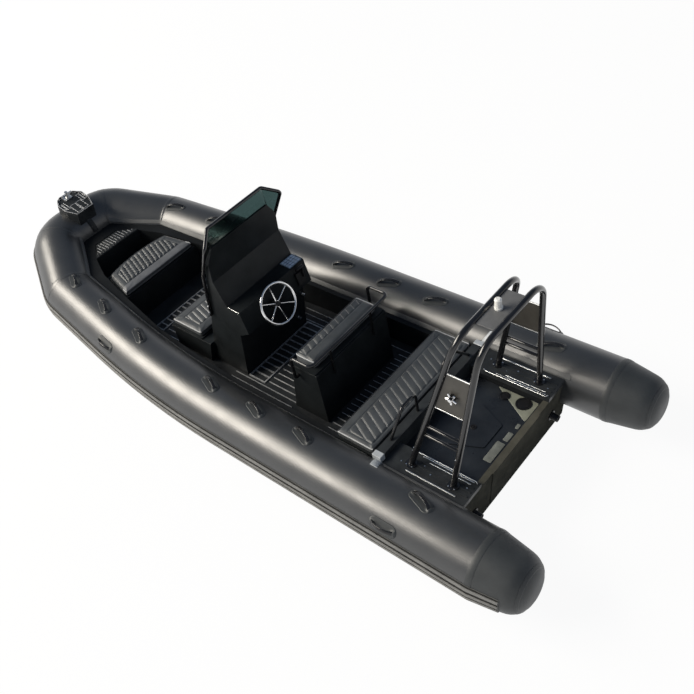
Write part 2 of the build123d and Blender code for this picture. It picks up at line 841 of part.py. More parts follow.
def arch_hoop(foot_x, top_x):
    port = [(foot_x, arch_foot_y, platform_z), (top_x, arch_top_half, arch_top_z)]
    points = port + [(x, -y, z) for x, y, z in reversed(port)]
    hoop = tube_run(points, arch_bend, arch_tube_r)
    hoop -= Pos(0, 0, platform_z) * Box(far, far, far / 8, align=(Align.CENTER, Align.CENTER, Align.MAX))
    for y in (-arch_foot_y, arch_foot_y):
        hoop += Pos(foot_x, y, platform_z) * Cylinder(arch_foot_r, arch_foot_t,
                                                      align=(Align.CENTER, Align.CENTER, Align.MIN))
    return hoop


def leg_point(xs, z):
    share = (z - platform_z) / (arch_top_z - platform_z)
    return Vector(xs[0] + (xs[1] - xs[0]) * share, arch_foot_y + arch_slope() * (z - platform_z), z)


def arch_top_plate(hoops):
    z0 = arch_top_z - arch_plate_t / 2
    plate = Pos(arch_aft_x[1], 0, z0) * Box(arch_front_x[1] - arch_aft_x[1], 2 * arch_plate_half, arch_plate_t,
                                            align=(Align.MIN, Align.CENTER, Align.MIN))
    return plate - hoops


def arch_side_plate(hoops):
    low, high = arch_side_z
    corners = [leg_point(arch_front_x, low), leg_point(arch_front_x, high),
               leg_point(arch_aft_x, high), leg_point(arch_aft_x, low)]
    plate = extrude(make_face(Polyline(*corners, close=True)), amount=arch_plate_t / 2, both=True)
    return plate - hoops


def arch_rung(z, hoops):
    return rod(leg_point(arch_aft_x, z), leg_point(arch_front_x, z), arch_rung_r) - hoops


def side_fitting():
    z = sum(arch_side_z) / 2
    middle = (leg_point(arch_front_x, z) + leg_point(arch_aft_x, z)) / 2
    up = Vector(0, arch_slope(), 1)
    out = Vector(1, 0, 0).cross(up) * -1
    plane = Plane(middle + out.normalized() * (arch_plate_t / 2), x_dir=(1, 0, 0), z_dir=out)
    base = extrude(plane * Circle(fitting_r), amount=10)
    return base + extrude(plane * Circle(fitting_r * 0.55), amount=fitting_h)


def all_round_light():
    z0 = arch_top_z + arch_plate_t / 2
    x = (arch_front_x[1] + arch_aft_x[1]) / 2 + 15
    base = Pos(x, 0, z0) * Cylinder(light_r, light_base_h, align=(Align.CENTER, Align.CENTER, Align.MIN))
    lens = Pos(x, 0, z0 + light_base_h) * Cylinder(light_r - 4, light_lens_h,
                                                   align=(Align.CENTER, Align.CENTER, Align.MIN))
    return base + fillet(lens.edges().sort_by(Axis.Z)[-1], 14)


def build():
    tube = tube_solid(tube_r)
    seat = tube_solid(tube_r + seat_gap)
    block = hull_block()
    console = console_shell()
    frame = windscreen_frame()
    front_hoop = arch_hoop(*arch_front_x)
    aft_hoop = arch_hoop(*arch_aft_x)
    front_seat = tube_run([(arch_front_x[0], arch_foot_y, platform_z), (arch_front_x[1], arch_top_half, arch_top_z),
                           (arch_front_x[1], -arch_top_half, arch_top_z), (arch_front_x[0], -arch_foot_y, platform_z)],
                          arch_bend, arch_tube_r + seat_gap)
    aft_seat = tube_run([(arch_aft_x[0], arch_foot_y, platform_z), (arch_aft_x[1], arch_top_half, arch_top_z),
                         (arch_aft_x[1], -arch_top_half, arch_top_z), (arch_aft_x[0], -arch_foot_y, platform_z)],
                        arch_bend, arch_tube_r + seat_gap)
    hoops = [front_seat, aft_seat]
    step = bow_step(seat)
    top_handles = [handle(x, top_handle_angle, top_handle_slant, seat) for x in top_handle_x]
    side_handles = [handle(x, angle, 0, seat) for x, angle in carry_handles]
    rungs = [arch_rung(z, hoops) for z in arch_rung_z]
    nodes = {
        "hull_bottom": hull_bottom(block, seat),
        "transom": transom(block, seat),
        "cockpit_floor": cockpit_floor(),
        "floor_grates": Compound(children=[floor_grate(*row) for row in floor_grates]),
        "buoyancy_tube": tube,
        "tube_cones": both_sides(tube_cone()),
        "rub_strake": rub_strake(),
        "tube_handles": Compound(children=top_handles + [mirrored(piece) for piece in top_handles]),
        "carry_handles": Compound(children=side_handles + [mirrored(piece) for piece in side_handles]),
        "bow_step_plate": step,
        "bow_tie_bracket": bow_tie(seat, step),
        "bow_bollard": bow_bollard(),
        "bow_locker": bow_locker(),
        "fore_locker": fore_locker(),
        "console_shell": console,
        "windscreen_frame": frame,
        "windscreen_glass": windscreen_glass(frame),
        "instrument_panel": instrument_panel(),
        "helm_hub": helm_hub(console),
        "throttle_box": throttle_box() - console,
        "console_seat_box": console_seat_box(),
        "helm_seat_box": helm_seat_box(),
        "helm_seat_rail": helm_seat_rail(),
        "aft_bench_box": aft_bench_box(),
        "aft_bulkhead": aft_bulkhead(seat),
        "beam_end_caps": both_sides(beam_cap(seat)),
        "bench_rails": both_sides(bench_hoop()),
        "side_platforms": both_sides(side_platform(seat)),
        "splash_well": splash_well(),
        "well_hatch": well_hatch(),
        "deck_plates": Compound(children=[deck_plate(*plate) for plate in deck_plates]),
        "drain_spouts": both_sides(drain_spout()),
        "arch_front_hoop": front_hoop,
        "arch_aft_hoop": aft_hoop,
        "arch_top_plate": arch_top_plate(hoops),
        "arch_side_plates": both_sides(arch_side_plate(hoops)),
        "arch_rungs": Compound(children=rungs + [mirrored(piece) for piece in rungs]),
        "arch_fittings": both_sides(side_fitting()),
        "all_round_light": all_round_light(),
        "steering_wheel": steering_wheel(),
        "bow_locker_lid": bow_lid(),
        "fore_lid": fore_lid(),
        "fore_cushion": fore_cushion(),
        "console_lid": console_lid(),
        "console_cushion": console_cushion(),
        "helm_lid": helm_lid(),
        "helm_cushion": helm_cushion(),
        "bench_lid": bench_lid(),
        "bench_cushion": bench_cushion(),
    }
    os.makedirs("parts", exist_ok=True)
    for name, shape in nodes.items():
        export_step(shape, f"parts/{name}.step")


build()
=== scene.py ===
from bisect import bisect
from math import asin, atan2, copysign, cos, degrees, exp, hypot, pi, radians, sin, tan

import bmesh
import bpy
from mathutils import Matrix, Vector
from mathutils.bvhtree import BVHTree


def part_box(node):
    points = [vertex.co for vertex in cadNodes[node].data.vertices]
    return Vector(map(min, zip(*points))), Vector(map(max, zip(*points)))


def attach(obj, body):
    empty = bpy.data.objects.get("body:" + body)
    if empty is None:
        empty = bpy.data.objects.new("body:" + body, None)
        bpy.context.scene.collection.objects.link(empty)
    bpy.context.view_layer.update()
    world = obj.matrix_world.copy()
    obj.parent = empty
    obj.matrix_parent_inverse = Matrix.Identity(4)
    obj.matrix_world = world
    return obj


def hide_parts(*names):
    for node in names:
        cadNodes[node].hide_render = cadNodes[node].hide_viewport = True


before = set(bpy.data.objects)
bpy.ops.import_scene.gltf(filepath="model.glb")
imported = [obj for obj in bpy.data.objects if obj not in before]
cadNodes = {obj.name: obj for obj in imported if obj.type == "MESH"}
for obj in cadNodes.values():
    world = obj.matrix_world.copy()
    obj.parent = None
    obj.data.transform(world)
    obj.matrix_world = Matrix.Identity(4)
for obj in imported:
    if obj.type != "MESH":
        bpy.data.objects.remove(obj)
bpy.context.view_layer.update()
scene = bpy.context.scene
print("frame loaded:", len(cadNodes), "nodes")


# shader nodes

def addNode(tree, kind, inputs=None, operation=None):
    # an input that is a socket is linked, and a constant is set on its socket
    node = tree.nodes.new("ShaderNode" + kind)
    if operation:
        node.operation = operation
    for key, value in (inputs or {}).items():
        if isinstance(value, bpy.types.NodeSocket):
            tree.links.new(value, node.inputs[key])
        else:
            node.inputs[key].default_value = value
    return node


def rampColour(tree, source, *stops):
    ramp = addNode(tree, "ValToRGB", {0: source})
    for element, (position, colour) in zip(ramp.color_ramp.elements, stops):
        element.position = position
        element.color = (*colour, 1)
    return ramp.outputs["Color"]


# camera, floor and light

cameraSetup = {
    "spot": (-2.33, 3.44, 5.56),
    "yaw": -41.4,           # degrees, from the bow towards port
    "pitch": 43.2,          # degrees below the horizon
    "roll": -13.1,
    "lens": 44.09,          # mm
    "sensor": 36,           # mm
    "reach": 200,
}


def makeCamera(setup):
    yaw, pitch, roll = (radians(setup[k]) for k in ("yaw", "pitch", "roll"))
    ahead = Vector((cos(pitch) * cos(yaw), cos(pitch) * sin(yaw), -sin(pitch)))
    level = ahead.cross(Vector((0, 0, 1))).normalized()
    upward = level.cross(ahead)
    across = level * cos(roll) + upward * sin(roll)
    over = upward * cos(roll) - level * sin(roll)
    data = bpy.data.cameras.new("camera")
    data.sensor_width = setup["sensor"]
    data.lens = setup["lens"]
    data.clip_end = setup["reach"]
    camera = bpy.data.objects.new("camera", data)
    turn = Matrix((across, over, -ahead)).transposed().to_4x4()
    camera.matrix_world = Matrix.Translation(setup["spot"]) @ turn
    scene.collection.objects.link(camera)
    scene.camera = camera


floorSetup = {"size": 120.0, "colour": (0.93, 0.93, 0.92), "whiten": 0.94}
skySetup = {
    "low": 0.05, "horizon": (0.92, 0.92, 0.92),
    "high": 0.5, "zenith": (0.13, 0.17, 0.24),
    "diffuse": 0.8,                      # its strength as light
}
keySetup = {
    "towards": (0.625, 0.47, 0.62),      # from the boat to the lamp
    "aim": (2.4, 0.0, 0.4),
    "distance": 30.0,
    "wide": 23.0,
    "tall": 10.0,
    "power": 13200.0,
    "colour": (1.0, 0.93, 0.82),
}


def seenDirectly(tree):
    # 1 for the rays that show the backdrop: camera, gloss and glass
    rays = addNode(tree, "LightPath").outputs
    first = addNode(tree, "Math", {0: rays["Is Camera Ray"], 1: rays["Is Glossy Ray"]}, "MAXIMUM")
    second = addNode(tree, "Math", {0: first.outputs[0], 1: rays["Is Transmission Ray"]}, "MAXIMUM")
    return second.outputs[0]


def makeFloor(setup):
    half = setup["size"] / 2
    data = bpy.data.meshes.new("floor")
    corners = [(-half, -half, 0), (half, -half, 0), (half, half, 0), (-half, half, 0)]
    data.from_pydata(corners, [], [(0, 1, 2, 3)])
    floor = bpy.data.objects.new("floor", data)
    scene.collection.objects.link(floor)
    mat = bpy.data.materials.new("paleFloor")
    mat.use_nodes = True
    tree = mat.node_tree
    tree.nodes.clear()
    lit = addNode(tree, "BsdfDiffuse", {"Color": (*setup["colour"], 1)})
    glow = addNode(tree, "Emission", {"Strength": 1.0})
    share = addNode(tree, "Math", {0: seenDirectly(tree), 1: setup["whiten"]}, "MULTIPLY")
    mix = addNode(tree, "MixShader", {0: share.outputs[0], 1: lit.outputs[0], 2: glow.outputs[0]})
    addNode(tree, "OutputMaterial", {"Surface": mix.outputs[0]})
    data.materials.append(mat)


def makeSky(setup):
    world = bpy.data.worlds.new("studio")
    scene.world = world
    world.use_nodes = True
    tree = world.node_tree
    tree.nodes.clear()
    split = addNode(tree, "SeparateXYZ", {0: addNode(tree, "TexCoord").outputs["Generated"]})
    stops = (setup["low"], setup["horizon"]), (setup["high"], setup["zenith"])
    colour = rampColour(tree, split.outputs["Z"], *stops)
    seen = seenDirectly(tree)
    strength = addNode(tree, "MapRange", {"Value": seen, "To Min": setup["diffuse"], "To Max": 1.0})
    back = addNode(tree, "Background", {"Color": colour, "Strength": strength.outputs[0]})
    addNode(tree, "OutputWorld", {"Surface": back.outputs[0]})


def makeKey(setup):
    data = bpy.data.lights.new("key", "AREA")
    data.shape = "RECTANGLE"
    data.size = setup["wide"]
    data.size_y = setup["tall"]
    data.energy = setup["power"]
    data.color = setup["colour"]
    lamp = bpy.data.objects.new("key", data)
    towards = Vector(setup["towards"]).normalized()
    lamp.location = Vector(setup["aim"]) + towards * setup["distance"]
    lamp.rotation_mode = "QUATERNION"
    lamp.rotation_quaternion = (-towards).to_track_quat("-Z", "Y")
    scene.collection.objects.link(lamp)


makeCamera(cameraSetup)
makeFloor(floorSetup)
makeSky(skySetup)
makeKey(keySetup)
scene.view_settings.view_transform = "Standard"
print("stage ready")


# materials

finishColumns = ("colour", "spread", "toneScale", "rough", "roughSpread", "bumps")
usualFinish = {
    "Coat Roughness": 0.1, "IOR": 1.5, "roughScale": 9.0, "dust": (0, 0, 0),
    "toneStops": (0.32, 0.7), "wearStops": (0.3, 0.7),
}


def bumpSource(tree, place, kind, scale):
    if kind == "weave":
        waves = {}
        for k, direction in enumerate("XZ"):
            wave = addNode(tree, "TexWave", {"Vector": place, "Scale": scale, "Distortion": 1.2})
            wave.bands_direction = direction
            waves[k] = wave.outputs["Fac"]
        return addNode(tree, "Math", waves, "MULTIPLY").outputs[0]
    if kind == "pebble":
        return addNode(tree, "TexVoronoi", {"Vector": place, "Scale": scale}).outputs["Distance"]
    return addNode(tree, "TexNoise", {"Vector": place, "Scale": scale, "Detail": 6}).outputs["Fac"]


def makeFinish(name, row):
    spec = {**usualFinish, **dict(zip(finishColumns, row)), **row[-1]}
    mat = bpy.data.materials.new(name)
    mat.use_nodes = True
    tree = mat.node_tree
    shader = tree.nodes["Principled BSDF"]
    for key, value in spec.items():
        if key in shader.inputs:
            shader.inputs[key].default_value = value
    place = addNode(tree, "TexCoord").outputs["Object"]
    tone = addNode(tree, "TexNoise", {"Vector": place, "Scale": spec["toneScale"], "Detail": 8,
                                      "Roughness": 0.62})
    base = Vector(spec["colour"])
    darker = base * (1 - spec["spread"])
    paler = base * (1 + spec["spread"]) + Vector(spec["dust"])
    low, high = spec["toneStops"]
    colour = rampColour(tree, tone.outputs["Fac"], (low, darker), (high, paler))
    if "band" in spec:
        # painted shade: the tint darkens upward and towards starboard, standing in for dark surroundings seen
        # through the glass; it is clearer low to port
        clearer, along, start, end = spec["band"]
        height = addNode(tree, "VectorMath", {0: place, 1: along}, "DOT_PRODUCT")
        rise = addNode(tree, "MapRange", {"Value": height.outputs["Value"],
                                          "From Min": start, "From Max": end})
        rise.interpolation_type = "SMOOTHSTEP"
        blend = addNode(tree, "MixRGB", {"Fac": rise.outputs[0], "Color1": (*clearer, 1), "Color2": colour})
        colour = blend.outputs["Color"]
    tree.links.new(colour, shader.inputs["Base Color"])
    wear = addNode(tree, "TexNoise", {"Vector": place, "Scale": spec["roughScale"], "Detail": 7})
    low, high = spec["wearStops"]
    rough = addNode(tree, "MapRange", {"Value": wear.outputs["Fac"], "From Min": low, "From Max": high,
                                       "To Min": spec["rough"] - spec["roughSpread"],
                                       "To Max": spec["rough"] + spec["roughSpread"]})
    tree.links.new(rough.outputs[0], shader.inputs["Roughness"])
    normal = None
    for kind, scale, strength, depth in spec["bumps"]:
        source = bumpSource(tree, place, kind, scale)
        bump = addNode(tree, "Bump", {"Strength": strength, "Distance": depth, "Height": source})
        if normal:
            tree.links.new(normal, bump.inputs["Normal"])
        normal = bump.outputs[0]
    tree.links.new(normal, shader.inputs["Normal"])
    return mat


# rows: the columns named above, then sockets and values that aren't usual
# bumps: kind, scale, strength, depth
finishes = {
    "tubeFabric": ((0.028, 0.03, 0.032), 0.16, 2.2, 0.35, 0.03,
                   [("weave", 420, 0.06, 0.0005), ("grain", 30, 0.04, 0.002)],
                   {"roughScale": 5, "Specular IOR Level": 0.92}),
    "coneFabric": ((0.036, 0.04, 0.042), 0.2, 4, 0.5, 0.05,
                   [("weave", 420, 0.12, 0.0006), ("grain", 26, 0.08, 0.002)], {"roughScale": 6}),
    # painted shade for the strake's grooves: a darker, duller copy of the strake rubber
    "strakeGrooveShade": ((0.022, 0.022, 0.021), 0.3, 6, 0.7, 0.05, [("grain", 240, 0.18, 0.0012)],
                     {"Specular IOR Level": 0.1}),
    "flangeRubber": ((0.095, 0.098, 0.098), 0.2, 4, 0.5, 0.05, [("weave", 520, 0.1, 0.0005)],
                     {"roughScale": 14}),
    "strakeRubber": ((0.165, 0.165, 0.16), 0.22, 6, 0.62, 0.05, [("grain", 240, 0.18, 0.0012)],
                     {"roughScale": 18}),
    "gripRubber": ((0.016, 0.016, 0.017), 0.3, 20, 0.24, 0.06, [("pebble", 520, 0.12, 0.0006)], {}),
    "hullPaint": ((0.012, 0.0135, 0.015), 0.3, 3, 0.48, 0.05, [("grain", 160, 0.06, 0.001)],
                  {"Specular IOR Level": 0.1}),
    "deckPaint": ((0.024, 0.027, 0.03), 0.35, 5, 0.4, 0.1, [("grain", 320, 0.12, 0.0008)],
                  {"Specular IOR Level": 0.18, "dust": (0.005, 0.005, 0.004)}),
    "consolePaint": ((0.014, 0.0165, 0.018), 0.3, 4, 0.36, 0.07, [("grain", 500, 0.08, 0.0005)],
                     {"Specular IOR Level": 0.14}),
    "transomPaint": ((0.082, 0.08, 0.066), 0.25, 5, 0.52, 0.1, [("grain", 260, 0.1, 0.0008)],
                     {"Specular IOR Level": 0.0}),
    # painted light: the pale olive of a sunlit patch in the well's corner
    "paintedSunOlive": ((0.23, 0.24, 0.19), 0.22, 9, 0.48, 0.08, [("grain", 300, 0.12, 0.0008)], {}),
    "glossPaint": ((0.008, 0.008, 0.009), 0.3, 8, 0.2, 0.05, [("grain", 60, 0.03, 0.0015)],
                   {"Coat Weight": 0.45, "Coat Roughness": 0.07, "Specular IOR Level": 0.4}),
    "platePaint": ((0.048, 0.045, 0.039), 0.18, 7, 0.46, 0.08, [("grain", 300, 0.08, 0.0008)], {}),
    "archPaint": ((0.13, 0.132, 0.134), 0.18, 7, 0.46, 0.08, [("grain", 300, 0.08, 0.0008)], {}),
    "capPaint": ((0.42, 0.45, 0.48), 0.15, 12, 0.38, 0.05, [("grain", 200, 0.08, 0.0008)], {}),
    "grateMetal": ((0.4, 0.41, 0.42), 0.3, 30, 0.4, 0.1, [("grain", 220, 0.08, 0.0008)], {"Metallic": 0.3}),
    "brightTrim": ((0.62, 0.63, 0.63), 0.2, 25, 0.3, 0.1, [("grain", 180, 0.08, 0.0006)], {"Metallic": 0.9}),
    # ribTrimAndGlint is bright trim on the bow step and lid lines, and painted highlight as glints on the
    # floor rib tops
    "ribTrimAndGlint": ((0.4, 0.41, 0.42), 0.3, 25, 0.4, 0.1, [("grain", 180, 0.08, 0.0006)], {"Metallic": 0.35}),
    "polishedSteel": ((0.78, 0.78, 0.78), 0.06, 12, 0.14, 0.05, [("grain", 90, 0.02, 0.0008)],
                      {"Metallic": 1.0}),
    "quiltVinyl": ((0.05, 0.056, 0.061), 0.2, 9, 0.46, 0.08,
                   [("pebble", 640, 0.16, 0.0007), ("grain", 40, 0.08, 0.003)],
                   {"roughScale": 16, "Sheen Weight": 0.08}),
    "bandVinyl": ((0.13, 0.136, 0.145), 0.15, 9, 0.5, 0.08, [("pebble", 640, 0.16, 0.0007)],
                  {"roughScale": 16}),
    "pipeVinyl": ((0.036, 0.038, 0.042), 0.2, 30, 0.4, 0.05, [("grain", 500, 0.1, 0.0005)], {}),
    # paleThreadAndHighlight is pale stitching on the console and fore cushions, and painted highlight as the
    # pale end piping of every cushion
    "paleThreadAndHighlight": ((0.46, 0.47, 0.48), 0.2, 90, 0.6, 0.05, [("grain", 900, 0.2, 0.0006)], {}),
    "quiltThread": ((0.2, 0.206, 0.212), 0.25, 60, 0.55, 0.05, [("grain", 900, 0.2, 0.0006)], {}),
    # smokedGlass's band is painted shade: the tint darkens up and to starboard for dark surroundings seen
    # through the glass
    "smokedGlass": ((0.045, 0.08, 0.078), 0.03, 4, 0.03, 0.02, [("grain", 3, 0.01, 0.002)],
                    {"Transmission Weight": 1.0, "IOR": 1.45,
                     "band": ((0.62, 0.65, 0.65), (0, -0.35, 1), 1.38, 1.58)}),
    "panelGloss": ((0.2, 0.26, 0.33), 0.12, 16, 0.12, 0.05, [("grain", 40, 0.03, 0.0006)],
                   {"Coat Weight": 0.6}),
    "keyGloss": ((0.5, 0.62, 0.78), 0.15, 30, 0.16, 0.05, [("grain", 120, 0.04, 0.0004)],
                 {"Coat Weight": 0.5}),
    "blackPlastic": ((0.009, 0.009, 0.01), 0.3, 20, 0.44, 0.05, [("pebble", 900, 0.12, 0.0004)],
                     {"Specular IOR Level": 0.25}),
    "lampLens": ((0.86, 0.86, 0.83), 0.04, 14, 0.18, 0.05, [("grain", 120, 0.04, 0.0005)],
                 {"Coat Weight": 0.5}),
    "wellPaint": ((0.013, 0.016, 0.021), 0.35, 4, 0.34, 0.1, [("grain", 260, 0.1, 0.0008)],
                  {"Specular IOR Level": 0.4, "dust": (0.006, 0.006, 0.005)}),
    # painted light: the pale grey of sunlit patches along the well's aft edge
    "paintedSunGrey": ((0.15, 0.16, 0.145), 0.2, 18, 0.62, 0.05, [("pebble", 420, 0.2, 0.0008)], {}),
}
mats = {name: makeFinish(name, row) for name, row in finishes.items()}
print("finishes ready:", len(mats))


# carried-over solids and their finishes

finishNodes = {
    "hullPaint": "hull_bottom", "transomPaint": "transom",
    "deckPaint": "cockpit_floor bow_step_plate bow_tie_bracket aft_bulkhead side_platforms bow_locker_lid",
    "grateMetal": "floor_grates", "tubeFabric": "buoyancy_tube", "coneFabric": "tube_cones",
    "strakeRubber": "rub_strake", "gripRubber": "tube_handles carry_handles", "brightTrim": "bow_bollard",
    "consolePaint": "bow_locker fore_locker console_shell console_seat_box helm_seat_box aft_bench_box"
                    " fore_lid console_lid helm_lid bench_lid",
    "glossPaint": "windscreen_frame helm_seat_rail bench_rails arch_front_hoop arch_aft_hoop arch_rungs",
    "smokedGlass": "windscreen_glass", "panelGloss": "instrument_panel",
    "blackPlastic": "helm_hub throttle_box deck_plates drain_spouts arch_fittings",
    "capPaint": "beam_end_caps", "wellPaint": "splash_well well_hatch", "archPaint": "arch_top_plate",
    "platePaint": "arch_side_plates", "lampLens": "all_round_light", "polishedSteel": "steering_wheel",
    "quiltVinyl": "fore_cushion console_cushion helm_cushion bench_cushion",
}
edgeSoftening = {
    "width": 0.0025, "angle": 40, "weld": 0.00005,
    "left": "buoyancy_tube tube_cones rub_strake windscreen_glass floor_grates",
}


def dressNode(name, finish, softening):
    node = cadNodes[name]
    node.data.materials.clear()
    node.data.materials.append(mats[finish])
    weld = node.modifiers.new("weld", "WELD")
    weld.merge_threshold = softening["weld"]
    if name not in softening["left"].split():
        bevel = node.modifiers.new("edge", "BEVEL")
        bevel.width = softening["width"]
        bevel.segments = 2
        bevel.limit_method = "ANGLE"
        bevel.angle_limit = radians(softening["angle"])
        bevel.use_clamp_overlap = True
        bevel.harden_normals = True


for finishName, nodeNames in finishNodes.items():
    for nodeName in nodeNames.split():
        dressNode(nodeName, finishName, edgeSoftening)
print("solids dressed")


# shared ways of making meshes: a chunk is points and faces

def sweepChunk(rings, ends="capped"):
    # rings of equal length joined into a tube, its ends capped, open or joined
    rows, around = len(rings), len(rings[0])
    faces = []
    for row in range(rows if ends == "joined" else rows - 1):
        here, there = row * around, (row + 1) % rows * around
        for k in range(around):
            after = (k + 1) % around
            faces.append((here + k, here + after, there + after, there + k))
    if ends == "capped":
        last = (rows - 1) * around
        faces += [tuple(range(around - 1, -1, -1)), tuple(range(last, last + around))]
    return [p for ring in rings for p in ring], faces


def roundSection(radius, sides):
    turns = [2 * pi * k / sides for k in range(sides)]
    return [(radius * cos(turn), radius * sin(turn)) for turn in turns]


def boxSection(wide, thick, edge):
    half, rise = wide / 2, thick / 2
    return [(half - edge, -rise), (half, -rise + edge), (half, rise - edge), (half - edge, rise),
            (edge - half, rise), (-half, rise - edge), (-half, edge - rise), (edge - half, -rise)]


def tapeSection(half, thick, shoulder, sink, edge):
    # a flat tape with eased edges: across it, height
    return [(-half, -sink), (-half, thick * edge), (shoulder - half, thick),
            (half - shoulder, thick), (half, thick * edge), (half, -sink)]


def rectangle(u0, u1, v0, v1):
    return [(u1, v1), (u0, v1), (u0, v0), (u1, v0)]


def runChunk(points, section, up=(0, 0, 1), closed=False):
    # a section (across, up) carried along a run of points
    points = [Vector(p) for p in points]
    rings = []
    count = len(points)
    for k, p in enumerate(points):
        before = points[k - 1] if closed or k else p
        after = points[(k + 1) % count] if closed or k < count - 1 else p
        ahead = (after - before).normalized()
        across = Vector(up).cross(ahead)
        across = across.normalized() if across.length > 1e-6 else Vector((1, 0, 0))
        lift = ahead.cross(across)
        rings.append([p + across * a + lift * b for a, b in section])
    return sweepChunk(rings, "joined" if closed else "capped")


def boxChunk(centre, size, edge=0.0015, turn=None):
    # a bar with softened edges, long way along x
    half, wide, thick = size[0] / 2, size[1], size[2]
    rings = []
    for x, shrink in ((-half, edge), (edge - half, 0), (half - edge, 0), (half, edge)):
        section = boxSection(wide - 2 * shrink, thick - 2 * shrink, edge)
        rings.append([Vector((x, a, b)) for a, b in section])
    points, faces = sweepChunk(rings)
    turn = turn or Matrix.Identity(3)
    return [turn @ p + Vector(centre) for p in points], faces


def latheChunk(origin, axis, profile, sides=32, start=None):
    # profile rows: distance along the axis, radius
    axis = Vector(axis).normalized()
    side = Vector(start) if start else axis.orthogonal().normalized()
    other = axis.cross(side)
    rings = []
    for along, radius in profile:
        middle = Vector(origin) + axis * along
        rings.append([middle + side * a + other * b for a, b in roundSection(max(radius, 0.0004), sides)])
    return sweepChunk(rings)


boltShape = [(0.0, 1.0), (0.35, 1.0), (0.6, 0.86), (0.72, 0.55), (0.74, 0.2)]      # as shares of the radius


def boltChunk(spot, axis, radius, sides=12):
    return latheChunk(spot, axis, [(a * radius, b * radius) for a, b in boltShape], sides)


def mirrorChunk(chunk):
    points, faces = chunk
    return [Vector((p[0], -p[1], p[2])) for p in points], [face[::-1] for face in faces]


def bothSides(chunks):
    return list(chunks) + [mirrorChunk(chunk) for chunk in chunks]


def addPiece(name, chunks, finish, replaces=(), body="hull", sharp=38):
    points, faces = [], []
    for chunkPoints, chunkFaces in chunks:
        start = len(points)
        points.extend(tuple(p) for p in chunkPoints)
        faces.extend(tuple(start + k for k in face) for face in chunkFaces)
    data = bpy.data.meshes.new(name)
    data.from_pydata(points, [], faces)
    data.update()
    work = bmesh.new()
    work.from_mesh(data)
    bmesh.ops.recalc_face_normals(work, faces=work.faces)
    work.to_mesh(data)
    work.free()
    data.shade_smooth()
    data.set_sharp_from_angle(angle=radians(sharp))
    data.materials.append(mats[finish])
    piece = bpy.data.objects.new(name, data)
    scene.collection.objects.link(piece)
    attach(piece, body)
    if replaces:
        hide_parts(*replaces)
    return piece


def secondFinish(piece, finish, marks):
    # marks: 1 for each face in the second finish
    piece.data.materials.append(mats[finish])
    piece.data.polygons.foreach_set("material_index", marks)


# buoyancy tube, with its cones, strake and seams

tubeRun = {
    "radius": 0.265,
    "stern": (-0.404, 0.938, 0.353),
    # rows: corner, bend radius
    "bends": [((2.988, 0.938, 0.353), 10.9), ((4.695, 0.702, 0.483), 0.4), ((5.344, 0.332, 0.646), 0.29)],
    "around": 96,
    "step": 0.06,
    "bendStep": 0.025,      # in bends tighter than 1 m
}


def filletRun(corners, radii, step, bendStep):
    out = [corners[0]]
    for before, corner, after, radius in zip(corners, corners[1:], corners[2:], radii):
        u = (before - corner).normalized()
        v = (after - corner).normalized()
        half = u.angle(v) / 2
        reach = radius / tan(half)
        centre = corner + (u + v).normalized() * (radius / sin(half))
        first, last = corner + u * reach - centre, corner + v * reach - centre
        turn = pi - 2 * half
        count = max(3, round(turn * radius / (bendStep if radius < 1 else step)))
        for k in range(count + 1):
            part = turn * k / count
            out.append(centre + (first * sin(turn - part) + last * sin(part)) / sin(turn))
    out.append(corners[-1])
    even = [out[0]]
    for p in out[1:]:
        start = even[-1]
        count = max(1, round((p - start).length / step))
        even.extend(start.lerp(p, k / count) for k in range(1, count + 1))
    return even


def tubeFrames(run):
    # rows: distance from the port stern, spot, ahead, outboard, up
    port = [Vector(run["stern"])] + [Vector(p) for p, r in run["bends"]]
    corners = port + [Vector((p.x, -p.y, p.z)) for p in reversed(port)]
    radii = [r for p, r in run["bends"]]
    spots = filletRun(corners, radii + radii[::-1], run["step"], run["bendStep"])
    frames, travel = [], 0.0
    for k, p in enumerate(spots):
        ahead = (spots[min(k + 1, len(spots) - 1)] - spots[max(k - 1, 0)]).normalized()
        side = Vector((0, 0, 1)).cross(ahead).normalized()
        if k:
            travel += (p - spots[k - 1]).length
        frames.append((travel, p, ahead, side, ahead.cross(side)))
    return frames


tubeLine = tubeFrames(tubeRun)
tubeTravels = [row[0] for row in tubeLine]
tubeLength = tubeTravels[-1]


def tubeFrame(travel):
    k = min(max(bisect(tubeTravels, travel), 1), len(tubeLine) - 1)
    before, after = tubeLine[k - 1], tubeLine[k]
    share = (travel - before[0]) / (after[0] - before[0])
    return [a.lerp(b, share) for a, b in zip(before[1:], after[1:])]


def tubeTravel(x):
    # distance along the port side to a station
    low, high = 0.0, tubeLength / 2
    for halving in range(40):
        middle = (low + high) / 2
        if tubeFrame(middle)[0].x < x:
            low = middle
        else:
            high = middle
    return low


def tubePoint(travel, angle, height=0.0):
    # angle 0 faces outboard, 90 up and 180 inboard
    spot, ahead, side, lift = tubeFrame(travel)
    turn = radians(angle)
    return spot + (side * cos(turn) + lift * sin(turn)) * (tubeRun["radius"] + height)


def makeTube(run):
    section = roundSection(run["radius"], run["around"])
    rings = [[spot + (side * a + lift * b) for a, b in section]
             for travel, spot, ahead, side, lift in tubeLine]
    addPiece("tubeSkin", [sweepChunk(rings)], "tubeFabric", ("buoyancy_tube",))


